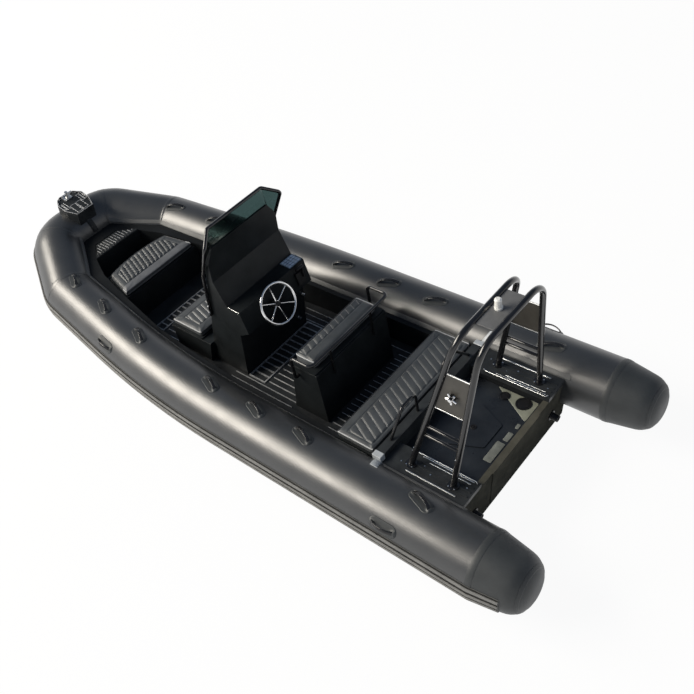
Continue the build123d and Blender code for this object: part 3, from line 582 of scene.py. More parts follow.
coneShape = {
    # rows: distance aft of the tube's end, radius
    "profile": [(0.0, 0.265), (0.06, 0.2557), (0.12, 0.2463), (0.18, 0.2369), (0.235, 0.2278), (0.262, 0.221),
                (0.286, 0.211), (0.308, 0.197), (0.328, 0.179), (0.346, 0.157), (0.36, 0.132), (0.369, 0.105),
                (0.3745, 0.074), (0.3765, 0.04), (0.377, 0.0)],
    "capRing": [(0.318, 0.1872), (0.32, 0.1897), (0.33, 0.1807), (0.34, 0.1687), (0.341, 0.1647)],
    "around": 96,
    "taper": 0.157,         # radius lost for each metre
    "tapeHalf": 0.025,
    "tapeThick": 0.0022,
    "tapeEasing": (0.003, 0.001, 0.6),      # shoulder, sink, height at the edge
}


def makeCones(shape):
    radius, half = tubeRun["radius"], shape["tapeHalf"]
    section = tapeSection(half, shape["tapeThick"], *shape["tapeEasing"])
    section.insert(3, (0.0, shape["tapeThick"]))
    tape = [(along, radius + height - (shape["taper"] * half if along > 0 else 0.0))
            for along, height in section]
    x, y, z = tubeRun["stern"]
    cones, tapes = [], []
    for sign in (1, -1):
        def turned(profile):
            return latheChunk((x, sign * y, z), (-1, 0, 0), profile, shape["around"], (0, 0, 1))
        cones.append(turned(shape["profile"]))
        tapes += [turned(tape), turned(shape["capRing"])]
    addPiece("sternCones", cones, "coneFabric", ("tube_cones",))
    addPiece("coneTapes", tapes, "coneFabric", sharp=25)


strakeShape = {
    # rows: degrees round the tube, height over the fabric
    "edge": [(17.3, 0.0088), (18.0, 0.006), (18.0, -0.002)],
    "rib": [(-3.0, 0.009), (-2.6, 0.0138), (-2.1, 0.0152), (2.1, 0.0152), (2.6, 0.0138), (3.0, 0.009)],
    "ribs": (-12.0, 0.0, 12.0),
    "grooves": (2, 8, 14, 20, 21),      # faces darkened as painted shade in the grooves, counted round the section
    "tail": 0.225,                      # along each cone
    "tailSteps": 6,
}


def makeStrake(shape):
    section = [(-a, h) for a, h in reversed(shape["edge"])]
    section += [(rib + a, h) for rib in shape["ribs"] for a, h in shape["rib"]] + shape["edge"]
    turned = [(cos(radians(a)), sin(radians(a)), h) for a, h in section]
    radius, steps = tubeRun["radius"], shape["tailSteps"]

    def ringAt(row, back=0.0, sign=1):
        travel, spot, ahead, side, lift = row
        size = radius - coneShape["taper"] * back
        return [spot + ahead * (sign * back) + (side * c + lift * s) * (size + h) for c, s, h in turned]

    backs = [shape["tail"] * k / steps for k in range(1, steps + 1)]
    rings = [ringAt(tubeLine[0], back, -1) for back in reversed(backs)]
    rings += [ringAt(row) for row in tubeLine]
    rings += [ringAt(tubeLine[-1], back) for back in backs]
    chunk = sweepChunk(rings)
    strake = addPiece("rubStrake", [chunk], "strakeRubber", ("rub_strake",), sharp=30)
    count = len(chunk[1])
    sides = count - 2       # the two ends come last
    # the groove faces get the darker rubber: painted shade in the strake's grooves
    marks = [int(k < sides and k % len(section) in shape["grooves"]) for k in range(count)]
    secondFinish(strake, "strakeGrooveShade", marks)


seamShape = {
    "half": 0.023,
    "thick": 0.0018,
    "easing": (0.004, 0.001, 0.6),      # shoulder, sink, height at the edge
    "around": 96,
    "bendsTaped": (1, 2),               # the two bow bends
    # the decks' edges, rows: station, height
    "deckEdges": [[(-0.1, 0.508), (0.66, 0.508)],
                  [(0.84, 0.457), (2.4, 0.457), (3.4, 0.487), (4.3, 0.577), (5.0, 0.652), (5.31, 0.702)]],
    # rows: share of the strip's width, height over the fabric
    "strip": [(-0.15, -0.002), (-0.15, 0.0035), (0.05, 0.0056), (0.2, 0.0035), (0.88, 0.0028), (1.0, 0.0008),
              (1.0, -0.002)],
    "stripWide": 8.0,                   # degrees round the tube
    "stripStep": 0.05,
    "steepest": 0.9,                    # sine of the angle that a strip may reach
}


def heightAt(rows, x):
    for (x0, z0), (x1, z1) in zip(rows, rows[1:]):
        if x <= x1:
            return z0 + (z1 - z0) * max(0.0, x - x0) / (x1 - x0)
    return rows[-1][1]


def makeSeams(shape):
    tapes, strips = [], []
    section = tapeSection(shape["half"], shape["thick"], *shape["easing"])
    port = [row for row in tubeLine if row[0] < tubeLength / 2]
    for number in shape["bendsTaped"]:
        corner = Vector(tubeRun["bends"][number][0])
        near = min(port, key=lambda row: (row[1] - corner).length)[0]
        for middle in (near, tubeLength - near):
            angles = [360.0 * k / shape["around"] for k in range(shape["around"] + 1)]
            rings = [[tubePoint(middle + along, angle, height) for along, height in section]
                     for angle in angles]
            tapes.append(sweepChunk(rings, "open"))
    for rows in shape["deckEdges"]:
        start, end = tubeTravel(rows[0][0]), tubeTravel(rows[-1][0])
        count = int((end - start) / shape["stripStep"])
        rings = []
        for k in range(count + 1):
            travel = start + (end - start) * k / count
            spot = tubeFrame(travel)[0]
            rise = (heightAt(rows, spot.x) - spot.z) / tubeRun["radius"]
            low = 180 - degrees(asin(max(-shape["steepest"], min(shape["steepest"], rise))))
            rings.append([tubePoint(travel, low - part * shape["stripWide"], height)
                          for part, height in shape["strip"]])
        strip = sweepChunk(rings)
        strips += [strip, mirrorChunk(strip)]
    addPiece("bowTapes", tapes, "tubeFabric", sharp=25)
    addPiece("deckStrips", strips, "flangeRubber", sharp=30)


makeTube(tubeRun)
makeCones(coneShape)
makeStrake(strakeShape)
makeSeams(seamShape)
print("tube ready")


# handles on the tube

handleShape = {
    "long": 0.25,
    "wide": 0.104,
    "pad": 0.004,
    "padAround": 56,
    "padRows": (1.0, 0.985, 0.955, 0.91, 0.86, 0.8, 0.7, 0.55, 0.36, 0.16),      # shares of its outline
    "padSink": 0.003,
    "edgeShare": 0.045,         # of the outline, for the eased edge and the rim
    "rim": 0.0016,
    "rimAt": 0.9,
    "boss": 0.011,
    "bossIn": 0.012,
    "bossHalf": (0.019, 0.02),
    "bar": (0.026, 0.011),
    "barSteps": 22,
    "barSides": 16,
    "barIn": 0.01,
    "arch": 0.8,                # power of the bar's bow
    "archEasing": 0.02,         # keeps its ends from standing upright
    "flare": (0.35, 0.25),      # growth at the feet, in width and height
    "square": (0.55, 0.65),     # powers that square the section, in width and height
    "grooves": (0.06, 26),      # finger grooves: depth as a share, waves
    "rise": 0.048,
    "foot": 0.006,
    "footIn": 0.018,
    # rows: station, degrees round the tube, degrees of slant
    "top": [(x, 100.0, 20.0) for x in (0.16, 1.3, 1.82, 2.37, 3.4, 4.0, 4.55)],
    "side": [(0.325, 32.0, 0.0), (3.66, 40.0, 0.0)],
}


def handleChunks(shape, x, angle, slant):
    travel = tubeTravel(x)
    turn = radians(slant)
    radius = tubeRun["radius"]
    halfLong, halfWide = shape["long"] / 2, shape["wide"] / 2
    straight = halfLong - halfWide
    reach = halfLong - shape["footIn"]

    def onTube(a, b, height):
        along = a * cos(turn) + b * sin(turn)
        around = -a * sin(turn) + b * cos(turn)
        return tubePoint(travel + along, angle - degrees(around / radius), height)

    def edgePoint(k, share):
        phi = 2 * pi * k / shape["padAround"]
        a = cos(phi) * halfWide * share + copysign(straight, cos(phi)) * share
        return a, sin(phi) * halfWide * share

    def padHeight(a, b, share):
        # eased at the edge, with a low rim and a boss under each foot of the bar
        bossLong, bossWide = shape["bossHalf"]
        edge = min(1.0, (1.0 - share) / shape["edgeShare"])
        rim = shape["rim"] * exp(-((share - shape["rimAt"]) / shape["edgeShare"]) ** 2)
        fromFoot = (abs(a) - reach + shape["bossIn"]) / bossLong
        boss = shape["boss"] * exp(-fromFoot ** 4 - (b / bossWide) ** 4)
        return shape["pad"] * sin(edge * pi / 2) + rim + boss

    rings = [[onTube(*edgePoint(k, 1.0), -shape["padSink"]) for k in range(shape["padAround"])]]
    for share in shape["padRows"]:
        spots = [edgePoint(k, share) for k in range(shape["padAround"])]
        rings.append([onTube(a, b, padHeight(a, b, share)) for a, b in spots])
    pad = sweepChunk(rings)

    spot, ahead, side, lift = tubeFrame(travel)
    out = side * cos(radians(angle)) + lift * sin(radians(angle))
    across = out.cross(ahead)
    run = ahead * cos(turn) - across * sin(turn)
    over = across * cos(turn) + ahead * sin(turn)
    base = spot + out * radius
    wide, thick = shape["bar"]
    flareWide, flareTall = shape["flare"]
    squareWide, squareTall = shape["square"]
    groove, waves = shape["grooves"]
    arch = shape["arch"]
    top = shape["rise"] - thick / 2
    barRings = []
    for k in range(shape["barSteps"] + 1):
        part = -1 + 2 * k / shape["barSteps"]
        bow = 1 - part * part
        middle = shape["foot"] + (top - shape["foot"]) * bow ** arch
        slope = atan2(-2 * arch * part * (bow + shape["archEasing"]) ** (arch - 1) * top, reach)
        grip = 1 - groove * cos(part * waves) * (1 - part ** 6)
        halfBar = wide / 2 * (1 + flareWide * part ** 4) * grip
        halfTall = thick / 2 * (1 + flareTall * part ** 4)
        tip = run * -sin(slope) + out * cos(slope)
        centre = base + run * ((reach - shape["barIn"]) * part) + out * middle
        barRings.append([centre + over * (copysign(abs(c) ** squareWide, c) * halfBar)
                         + tip * (copysign(abs(s) ** squareTall, s) * halfTall)
                         for c, s in roundSection(1.0, shape["barSides"])])
    return [pad, sweepChunk(barRings)]


def makeHandles(shape):
    kinds = (("topHandles", "top", "tube_handles"), ("carryHandles", "side", "carry_handles"))
    for name, rows, node in kinds:
        chunks = []
        for row in shape[rows]:
            for chunk in handleChunks(shape, *row):
                chunks += [chunk, mirrorChunk(chunk)]
        piece = addPiece(name, chunks, "gripRubber", (node,), sharp=50)
        marks = [int(k % 4 < 2) for k, chunk in enumerate(chunks) for face in chunk[1]]      # pads come first
        secondFinish(piece, "coneFabric", marks)


makeHandles(handleShape)
print("handles ready")


# cushions: swollen by cloth simulation, then quilted, stitched and piped

cushionMaking = {
    "loopStep": 0.012,
    "voxel": 0.009,
    "shrink": 0.004,
    "held": 0.02,               # height of the base that stays still
    "cap": 0.0045,              # furthest that a point may swell
    "pressure": 4.0,
    "frames": 20,
    "seamWidth": 0.0055,
    "seamDepth": 0.004,
    "seamReach": 0.03,          # no seam or quilting further outside a panel
    "puffEasing": 0.016,        # quilting fades over this at a panel's edge
    "facing": (0.45, 0.35),     # how far up the cover looks where quilting starts, and its fade
    "bandFacing": 0.2,
    "lineStep": 0.004,          # quilting lines are searched in these steps, each way
    "lineSteps": 400,
    "lineMargin": 0.008,
    "lineShortest": 5,          # steps
    "lineRows": 30,             # each way from the middle
    "unbroken": (9.0, 0.0),     # dash and gap of a whole thread
    "thread": (0.005, 0.0026, 0.0009),      # width, height, edge
    "threadLift": 0.0006,
    "threadStep": 0.012,
    "above": 0.1,               # where threads are dropped from
    "pipe": 0.0046,
    "pipeSides": 10,
    "pipeIn": 0.005,
    "pipeDown": 0.009,
    "pipeOut": 0.0012,
    "endPipe": 1.25,            # times the pipe
    "endReach": 0.02,
}


def roundCorners(corners, radius, count=7):
    out = []
    for k, corner in enumerate(corners):
        corner = Vector(corner)
        back, ahead = Vector(corners[k - 1]) - corner, Vector(corners[(k + 1) % len(corners)]) - corner
        a = corner + back.normalized() * min(radius, back.length * 0.45)
        b = corner + ahead.normalized() * min(radius, ahead.length * 0.45)
        for n in range(count):
            t = n / (count - 1)
            out.append(a * (1 - t) ** 2 + corner * 2 * t * (1 - t) + b * t * t)
    return out


def evenLoop(points, step):
    out = []
    for k, p in enumerate(points):
        nextPoint = points[(k + 1) % len(points)]
        count = max(1, round((nextPoint - p).length / step))
        out.extend(p.lerp(nextPoint, n / count) for n in range(count))
    return out


def insetLoop(points, depth):
    # outlines run from port over aft to starboard, so inward is to the left
    out = []
    for k, p in enumerate(points):
        run = (points[(k + 1) % len(points)] - points[k - 1]).normalized()
        out.append(p + Vector((-run.y, run.x)) * depth)
    return out


def boxCushion(node):
    low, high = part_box(node)
    return {
        "origin": Vector((low.x, 0, low.z)), "tilt": 0.0, "thick": high.z - low.z,
        "outline": rectangle(0, high.x - low.x, -high.y, high.y),
    }


def foreCushion():
    tilt = radians(7)
    lift = Vector((-sin(tilt), 0, cos(tilt)))
    aft, fore, halfAft, halfFore, bulge = 0.014, 0.358, 0.456, 0.375, 0.045
    front = [(fore + bulge * (1 - (v / 6) ** 2), halfFore * v / 6) for v in range(-6, 7)]
    return {
        "origin": Vector((4.07, 0, 0.5)) + lift * 0.0148, "tilt": tilt, "thick": 0.066,
        "outline": front + [(aft, halfAft), (aft, -halfAft)],
    }


# lines: degrees to starboard of forward, pitch across the boat, groove depth, puff, stitched or not
cushions = {
    "benchCushion": {
        "node": "bench_cushion", "body": "bench_seat_lid", "form": boxCushion("bench_cushion"),
        "corner": 0.03, "panel": rectangle(0.042, 0.292, -0.625, 0.625),
        "lines": [(26, 0.075, 0.0045, 0.004, True)], "fill": 0.7,
    },
    "helmCushion": {
        "node": "helm_cushion", "body": "helm_seat_lid", "form": boxCushion("helm_cushion"),
        "corner": 0.036, "panel": rectangle(0.114, 0.2, -0.368, 0.368),
        "lines": [(24, 0.07, 0.0045, 0.004, True)], "fill": 0.7,
    },
    "consoleCushion": {
        "node": "console_cushion", "body": "console_seat_lid", "form": boxCushion("console_cushion"),
        "corner": 0.034, "panel": rectangle(0.094, 0.307, -0.3625, 0.3625),
        "lines": [(14, 0.058, 0.0045, 0.004, True)], "fill": 0.7, "thread": "paleThreadAndHighlight",
    },
    "foreCushion": {
        "node": "fore_cushion", "body": "fore_seat_lid", "form": foreCushion(), "corner": 0.03,
        "panel": [(0.378, 0.11), (0.35, 0.235), (0.288, 0.318), (0.112, 0.352),
                  (0.112, -0.352), (0.288, -0.318), (0.35, -0.235), (0.378, -0.11)],
        "lines": [(18, 0.0525, 0.006, 0.007, True), (-62, 0.08, 0.004, 0.004, False)], "fill": 0.8,
        "band": 0.104, "thread": "paleThreadAndHighlight", "dash": (0.048, 0.016),
    },
}


def cushionAxes(form):
    tilt = form["tilt"]
    return (Vector((cos(tilt), 0, sin(tilt))), Vector((0, 1, 0)),
            Vector((-sin(tilt), 0, cos(tilt))))


def cushionSpot(form, u, v, height):
    along, across, lift = cushionAxes(form)
    return form["origin"] + along * u + across * v + lift * height


def bakeMesh(piece):
    graph = bpy.context.evaluated_depsgraph_get()
    data = bpy.data.meshes.new_from_object(piece.evaluated_get(graph))
    piece.modifiers.clear()
    piece.data = data


def startCushion(name, spec):
    form = spec["form"]
    loop = roundCorners([Vector(p) for p in form["outline"]], spec["corner"])
    spec["loop"] = evenLoop(loop, cushionMaking["loopStep"])
    s, t = cushionMaking["shrink"], form["thick"]
    rows = [(s + 0.012, 0.001), (s + 0.003, 0.006), (s, 0.014), (s + 0.003, t * 0.5), (s, t - 0.026),
            (s + 0.003, t - 0.014), (s + 0.01, t - 0.008), (s + 0.024, t - 0.006)]      # depth inward, height
    rings = [[cushionSpot(form, p.x, p.y, height) for p in insetLoop(spec["loop"], depth)]
             for depth, height in rows]
    piece = addPiece(name, [sweepChunk(rings)], "quiltVinyl", (spec["node"],), spec["body"])
    remesh = piece.modifiers.new("remesh", "REMESH")
    remesh.mode = "VOXEL"
    remesh.voxel_size = cushionMaking["voxel"]
    soften = piece.modifiers.new("soften", "SMOOTH")
    soften.factor = 0.5
    soften.iterations = 3
    bakeMesh(piece)
    return piece


def swellCushions(made, making):
    for name, piece in made.items():
        form = cushions[name]["form"]
        lift = cushionAxes(form)[2]
        held = [v.index for v in piece.data.vertices if (v.co - form["origin"]).dot(lift) < making["held"]]
        piece.vertex_groups.new(name="base").add(held, 1.0, "REPLACE")
        cloth = piece.modifiers.new("swell", "CLOTH")
        cloth.settings.use_pressure = True
        cloth.settings.uniform_pressure_force = making["pressure"]
        cloth.settings.effector_weights.gravity = 0
        cloth.settings.vertex_group_mass = "base"
        cloth.collision_settings.use_collision = False
        cloth.point_cache.frame_end = making["frames"]
    for number in range(1, making["frames"] + 1):
        scene.frame_set(number)
    graph = bpy.context.evaluated_depsgraph_get()
    moved = {name: [v.co.copy() for v in piece.evaluated_get(graph).data.vertices]
             for name, piece in made.items()}
    for name, piece in made.items():
        piece.modifiers.clear()
        for v, goal in zip(piece.data.vertices, moved[name]):
            move = goal - v.co
            v.co += move * min(1.0, making["cap"] / max(move.length, 1e-9))
        piece.data.update()
    scene.frame_set(1)


def panelDepth(panel, u, v):
    # distance inside a convex panel, below zero outside it
    depths = []
    for k, (u1, v1) in enumerate(panel):
        u0, v0 = panel[k - 1]
        length = hypot(u1 - u0, v1 - v0)
        depths.append(((v1 - v0) * -(u - u0) + (u1 - u0) * (v - v0)) / length)
    return min(depths)


def quiltHeight(spec, u, v):
    depth = panelDepth(spec["panel"], u, v)
    if depth < -cushionMaking["seamReach"]:
        return 0.0
    seam = cushionMaking["seamWidth"]
    height = -cushionMaking["seamDepth"] * exp(-(depth / seam) ** 2)
    if depth > 0:
        inside = min(1.0, depth / cushionMaking["puffEasing"])
        for angle, pitch, groove, puff, stitched in spec["lines"]:
            turn = radians(angle)
            gap = pitch * cos(turn)
            across = (u * sin(turn) + v * cos(turn)) / gap
            off = abs(across - round(across))
            height += inside * (puff * sin(pi * off) - groove * exp(-(off * gap / seam) ** 2))
    return height


def quiltCushion(piece, spec):
    form = spec["form"]
    along, across, lift = cushionAxes(form)
    start, fade = cushionMaking["facing"]
    finer = piece.modifiers.new("finer", "SUBSURF")
    finer.levels = 1
    finer.render_levels = 1
    bakeMesh(piece)
    normals = [v.normal.copy() for v in piece.data.vertices]
    for v, normal in zip(piece.data.vertices, normals):
        facing = min(1.0, max(0.0, (normal.dot(lift) - start) / fade))
        if facing:
            off = v.co - form["origin"]
            v.co += lift * (facing * quiltHeight(spec, off.dot(along), off.dot(across)))
    piece.data.shade_smooth()
    if "band" in spec:
        piece.data.materials.append(mats["bandVinyl"])
        for face in piece.data.polygons:
            off = face.center - form["origin"]
            if off.dot(along) < spec["band"] and face.normal.dot(lift) > cushionMaking["bandFacing"]:
                face.material_index = 1
    piece.data.update()


def surfaceOf(*things):
    points, faces = [], []
    graph = bpy.context.evaluated_depsgraph_get()
    for thing in things:
        shape = thing.evaluated_get(graph)
        start = len(points)
        points.extend(shape.matrix_world @ v.co for v in shape.data.vertices)
        faces.extend(tuple(start + k for k in face.vertices) for face in shape.data.polygons)
    return BVHTree.FromPolygons(points, faces)


def clippedLine(panel, angle, offset):
    # the ends of a quilting line inside a convex panel
    turn = radians(angle)
    base = Vector((sin(turn), cos(turn))) * offset
    run = Vector((cos(turn), -sin(turn)))
    count = cushionMaking["lineSteps"]
    tries = [k * cushionMaking["lineStep"] for k in range(-count, count)]
    inside = [t for t in tries
              if panelDepth(panel, base.x + run.x * t, base.y + run.y * t) > cushionMaking["lineMargin"]]
    long = len(inside) > cushionMaking["lineShortest"]
    return (base + run * inside[0], base + run * inside[-1]) if long else None


def dashed(start, end, dash, gap):
    length = (end - start).length
    count = max(1, round((length + gap) / (dash + gap)))
    step = (length + gap) / count
    return [(start.lerp(end, k * step / length), start.lerp(end, (k * step + step - gap) / length))
            for k in range(count)]


def stitchCushion(name, piece, spec):
    form, making = spec["form"], cushionMaking
    lift = cushionAxes(form)[2]
    skin = surfaceOf(piece)
    top = form["thick"] + making["above"]

    def onTop(p):
        hit = skin.ray_cast(cushionSpot(form, p.x, p.y, top), -lift)[0]
        return hit + lift * making["threadLift"]

    def addSewn(part, chunks, finish, sharp):
        addPiece(name + part, chunks, finish, body=spec["body"], sharp=sharp)

    section = boxSection(*making["thread"])
    threads = []
    for angle, pitch, groove, puff, stitched in spec["lines"]:
        gap = pitch * cos(radians(angle))
        for k in range(-making["lineRows"], making["lineRows"] + 1):
            ends = clippedLine(spec["panel"], angle, k * gap)
            if stitched and ends:
                for first, last in dashed(*ends, *spec.get("dash", making["unbroken"])):
                    count = max(3, int((last - first).length / making["threadStep"]))
                    spots = [first.lerp(last, n / count) for n in range(count + 1)]
                    threads.append(runChunk([onTop(p) for p in spots], section, lift))
    addSewn("Thread", threads, spec.get("thread", "quiltThread"), 38)

    half = max(v for u, v in form["outline"])
    radius, sides = making["pipe"], making["pipeSides"]
    pipe = []
    for p in insetLoop(spec["loop"], making["pipeIn"]):
        edge = cushionSpot(form, p.x, p.y, form["thick"] - making["pipeDown"])
        near, normal = skin.find_nearest(edge)[:2]
        pipe.append(near + normal * making["pipeOut"])
    addSewn("Piping", [runChunk(pipe, roundSection(radius, sides), lift, True)], "pipeVinyl", 60)
    # the pale piping at each cushion's two ends is painted highlight: a pale cord stands in for the glossy
    # shine along those edges
    ends = []
    for sign in (1, -1):
        side = [q for p, q in zip(spec["loop"], pipe) if sign * p.y > half - making["endReach"]]
        side.sort(key=lambda q: q.x)
        ends.append(runChunk(side, roundSection(radius * making["endPipe"], sides), lift))
    addSewn("HighlightPiping", ends, "paleThreadAndHighlight", 60)


cushionPieces = {name: startCushion(name, spec) for name, spec in cushions.items()}
swellCushions(cushionPieces, cushionMaking)
for name, spec in cushions.items():
    quiltCushion(cushionPieces[name], spec)
    stitchCushion(name, cushionPieces[name], spec)
print("cushions ready")


# ribs, strips and plates on the decks

seatDepth = 0.0005          # how far small fittings are set into what carries them
dropHeight = 3.0            # over every deck
stripStep = 0.04
stripEdge = 0.25            # as a share of its smaller side
plateSink = 0.0006
plateEdge = [(0, 0.5), (0.0015, 0.9), (0.003, 1.0)]        # depth inward, share of the thickness


def laid(skin, spots, lift=0.0):
    # plan points dropped on a surface from above
    down = Vector((0, 0, -1))
    return [skin.ray_cast(Vector((x, y, dropHeight)), down)[0] + Vector((0, 0, lift)) for x, y in spots]


def stripOn(skin, start, end, wide, thick, sink=0.0004):
    start, end = Vector(start), Vector(end)
    count = max(2, round((end - start).length / stripStep))
    spots = [start.lerp(end, k / count) for k in range(count + 1)]
    edge = min(wide, thick) * stripEdge
    return runChunk(laid(skin, spots, thick / 2 - sink), boxSection(wide, thick, edge))


def plateOn(skin, corners, thick, corner=0.01):
    # a flat plate with softened edges, laid level on a surface
    loop = roundCorners([Vector(p) for p in corners], corner, 5)
    level = max(p.z for p in laid(skin, loop))
    rows = [(0, -plateSink)] + [(depth, thick * share) for depth, share in plateEdge]
    rings = [[Vector((p.x, p.y, level + height)) for p in insetLoop(loop, depth)] for depth, height in rows]
    return sweepChunk(rings)


# the caps and low ribs are painted highlight: a pale metal on the rib tops stands in for glints along the
# floor ribs
floorRibs = {
    "pitch": 0.062, "top": 0.204, "rows": 9, "cap": (0.008, 0.0016), "capSink": 0.0003, "capEdge": 0.0005,
    "low": 0.0056, "lowLift": 0.0025, "lowEdge": 0.0008,
    "aft": (1.188, 1.48, 2.29),         # from the bench to the helm seat, or past it to the grate
    "seatHalf": 0.517, "seatGap": 0.005, "floor": 0.2,
    "ahead": (1.895, 2.285, 2.66),      # from the helm seat to the grate, or past it beside the console
    "grateHalf": 0.425,
    "fore": (3.45, 3.7), "foreRows": 8,
    "short": 0.016,                     # caps end inside the ribs
}


def makeFloorRibs(shape):
    wide, thick = shape["cap"]
    caps = []
    for row in range(-shape["rows"], shape["rows"] + 1):
        y = row * shape["pitch"]
        start, atSeat, past = shape["aft"]
        runs = [(start, atSeat if abs(y) < shape["seatHalf"] else past)]
        if abs(row) <= shape["foreRows"]:
            runs.append(shape["fore"])
        x0, atGrate, beside = shape["ahead"]
        x0 = x0 if abs(y) < shape["seatHalf"] else past + shape["seatGap"]
        x1 = atGrate if abs(y) < shape["grateHalf"] else beside
        middle = ((x0 + x1) / 2, y, shape["floor"] + shape["lowLift"])
        caps.append(boxChunk(middle, (x1 - x0, wide, shape["low"]), shape["lowEdge"]))
        for x0, x1 in runs:
            middle = ((x0 + x1) / 2, y, shape["top"] + thick / 2 - shape["capSink"])
            caps.append(boxChunk(middle, (x1 - x0 - shape["short"], wide, thick), shape["capEdge"]))
    addPiece("floorRibGlints", caps, "ribTrimAndGlint")


platformTrim = {
    # rows: start, end, width, height
    "strips": [((-0.02, 0.484), (0.53, 0.484), 0.008, 0.007), ((-0.015, 0.5), (0.44, 0.5), 0.008, 0.0016),
               ((0.0, 0.524), (0.36, 0.524), 0.007, 0.005), ((0.035, 0.672), (0.48, 0.672), 0.01, 0.007),
               ((-0.02, 0.484), (-0.038, 0.498), 0.008, 0.007), ((0.53, 0.484), (0.55, 0.496), 0.008, 0.007)],
    "bolts": [(0.298, 0.61, 0.007), (0.005, 0.566, 0.006), (0.38, 0.566, 0.005), (0.56, 0.62, 0.006)],
    "feet": [(0.1, 0.6), (0.48, 0.6)], "footRing": 0.038, "footBolt": 0.006,
}


def makePlatformTrim(shape):
    skin = surfaceOf(cadNodes["side_platforms"])
    strips = [stripOn(skin, *row) for row in shape["strips"]]
    addPiece("platformStrips", bothSides(strips), "brightTrim")
    bolts = [boltChunk(laid(skin, [(x, y)], -seatDepth)[0], (0, 0, 1), r) for x, y, r in shape["bolts"]]
    footings = surfaceOf(cadNodes["side_platforms"], cadNodes["arch_front_hoop"], cadNodes["arch_aft_hoop"])
    ring = shape["footRing"]
    for x, y in shape["feet"]:
        for k in range(4):
            turn = radians(45 + 90 * k)
            spot = (x + ring * cos(turn), y + ring * sin(turn))
            foot = laid(footings, [spot], -seatDepth)[0]
            bolts.append(boltChunk(foot, (0, 0, 1), shape["footBolt"], sides=8))
    addPiece("platformBolts", bothSides(bolts), "polishedSteel")


# the corner plate and the pads are painted light: pale sunlit patches on the well floor between shadows, made
# as thin plates; the knob is a real part
wellTrim = {
    "corner": [(0.4, -0.47), (0.024, -0.25), (0.024, -0.47)], "cornerThick": 0.003, "cornerRound": 0.02,
    "pads": [(0.03, 0.102, 0.014, 0.225), (0.03, 0.076, -0.106, -0.012), (0.03, 0.06, -0.212, -0.16)],
    "sunPatchThick": 0.004,
    "knobAt": (0.33, 0.0),
    "knob": [(0.0, 0.026), (0.004, 0.026), (0.006, 0.023), (0.006, 0.017), (0.003, 0.015), (0.003, 0.006),
             (0.009, 0.005), (0.01, 0.003)],
}


def makeWellTrim(shape):
    skin = surfaceOf(cadNodes["splash_well"])
    plate = plateOn(skin, shape["corner"], shape["cornerThick"], shape["cornerRound"])
    addPiece("cornerSunPatch", [plate], "paintedSunOlive")
    pads = [plateOn(skin, rectangle(*pad), shape["sunPatchThick"]) for pad in shape["pads"]]
    addPiece("wellSunPatches", pads, "paintedSunGrey")
    spot = laid(surfaceOf(cadNodes["well_hatch"]), [shape["knobAt"]], -seatDepth)[0]
    addPiece("hatchKnob", [latheChunk(spot, (0, 0, 1), shape["knob"])], "blackPlastic")


makeFloorRibs(floorRibs)
makePlatformTrim(platformTrim)
makeWellTrim(wellTrim)
print("deck trim ready")


# bow step and its lines

stepTrim = {
    "aft": 5.0, "slope": 13.0, "line": (0.007, 0.003, 0.0008), "lineStep": 0.02, "lineSink": 0.0004,
    # rows: distance up the slope, to port
    "outline": [(0.11, 0.099), (0.235, 0.15), (0.36, 0.15), (0.43, 0.079), (0.43, -0.079), (0.36, -0.15),
                (0.235, -0.15), (0.11, -0.099)],
    # to port of the middle, mirrored to starboard
    "panels": [(0.14, 0.272, 0.006, 0.069), (0.245, 0.36, 0.118, 0.14), (0.245, 0.36, 0.082, 0.108)],
}


def makeStepTrim(shape):
    skin = surfaceOf(cadNodes["bow_step_plate"])
    wide, thick, edge = shape["line"]
    fall = cos(radians(shape["slope"]))
    loops = [shape["outline"]]
    for u0, u1, v0, v1 in shape["panels"]:
        loops += [rectangle(u0, u1, v0, v1), rectangle(u0, u1, -v1, -v0)]
    lines = []
    for loop in loops:
        loop = evenLoop([Vector((shape["aft"] + u * fall, v)) for u, v in loop], shape["lineStep"])
        spots = laid(skin, loop, thick / 2 - shape["lineSink"])
        lines.append(runChunk(spots, boxSection(wide, thick, edge), closed=True))
    addPiece("stepLines", lines, "ribTrimAndGlint")


makeStepTrim(stepTrim)
print("bow step ready")


# bow lid slats, beam ends, arch and console fittings

lidTrim = {
    "pitch": 0.034, "count": 7, "run": (4.752, 4.898), "cap": (0.0075, 0.0022), "dash": (0.06, 0.012),
    "stagger": 0.014, "margin": 0.02, "near": 0.012,
}


def makeLidTrim(shape):
    lid = cadNodes["bow_locker_lid"]
    skin = surfaceOf(lid)
    corners = [lid.matrix_world @ v.co for v in lid.data.vertices]
    aft, fore = shape["run"]
    caps = []
    for number in range(-shape["count"], shape["count"] + 1):
        y = number * shape["pitch"]
        reach = max([p.x for p in corners if abs(p.y - y) < shape["near"]] or [fore])
        start = Vector((aft + shape["stagger"] * (number % 3), y))
        end = Vector((min(fore, reach - shape["margin"]), y))
        caps += [stripOn(skin, *ends, *shape["cap"]) for ends in dashed(start, end, *shape["dash"])]
    addPiece("bowLidCaps", caps, "ribTrimAndGlint", body="bow_lid")


beamTrim = {
    "sleeve": ((0.72, 0.69, 0.512), (0.086, 0.054, 0.084)), "sleeveEdge": 0.004,
    "strapAngles": (153.0, 116.0), "strapAlong": (0.716, 0.655), "strapHalf": 0.034, "strapThick": 0.007,
    "strapEasing": (0.003, 0.002, 0.7), "strapSteps": 12,
}


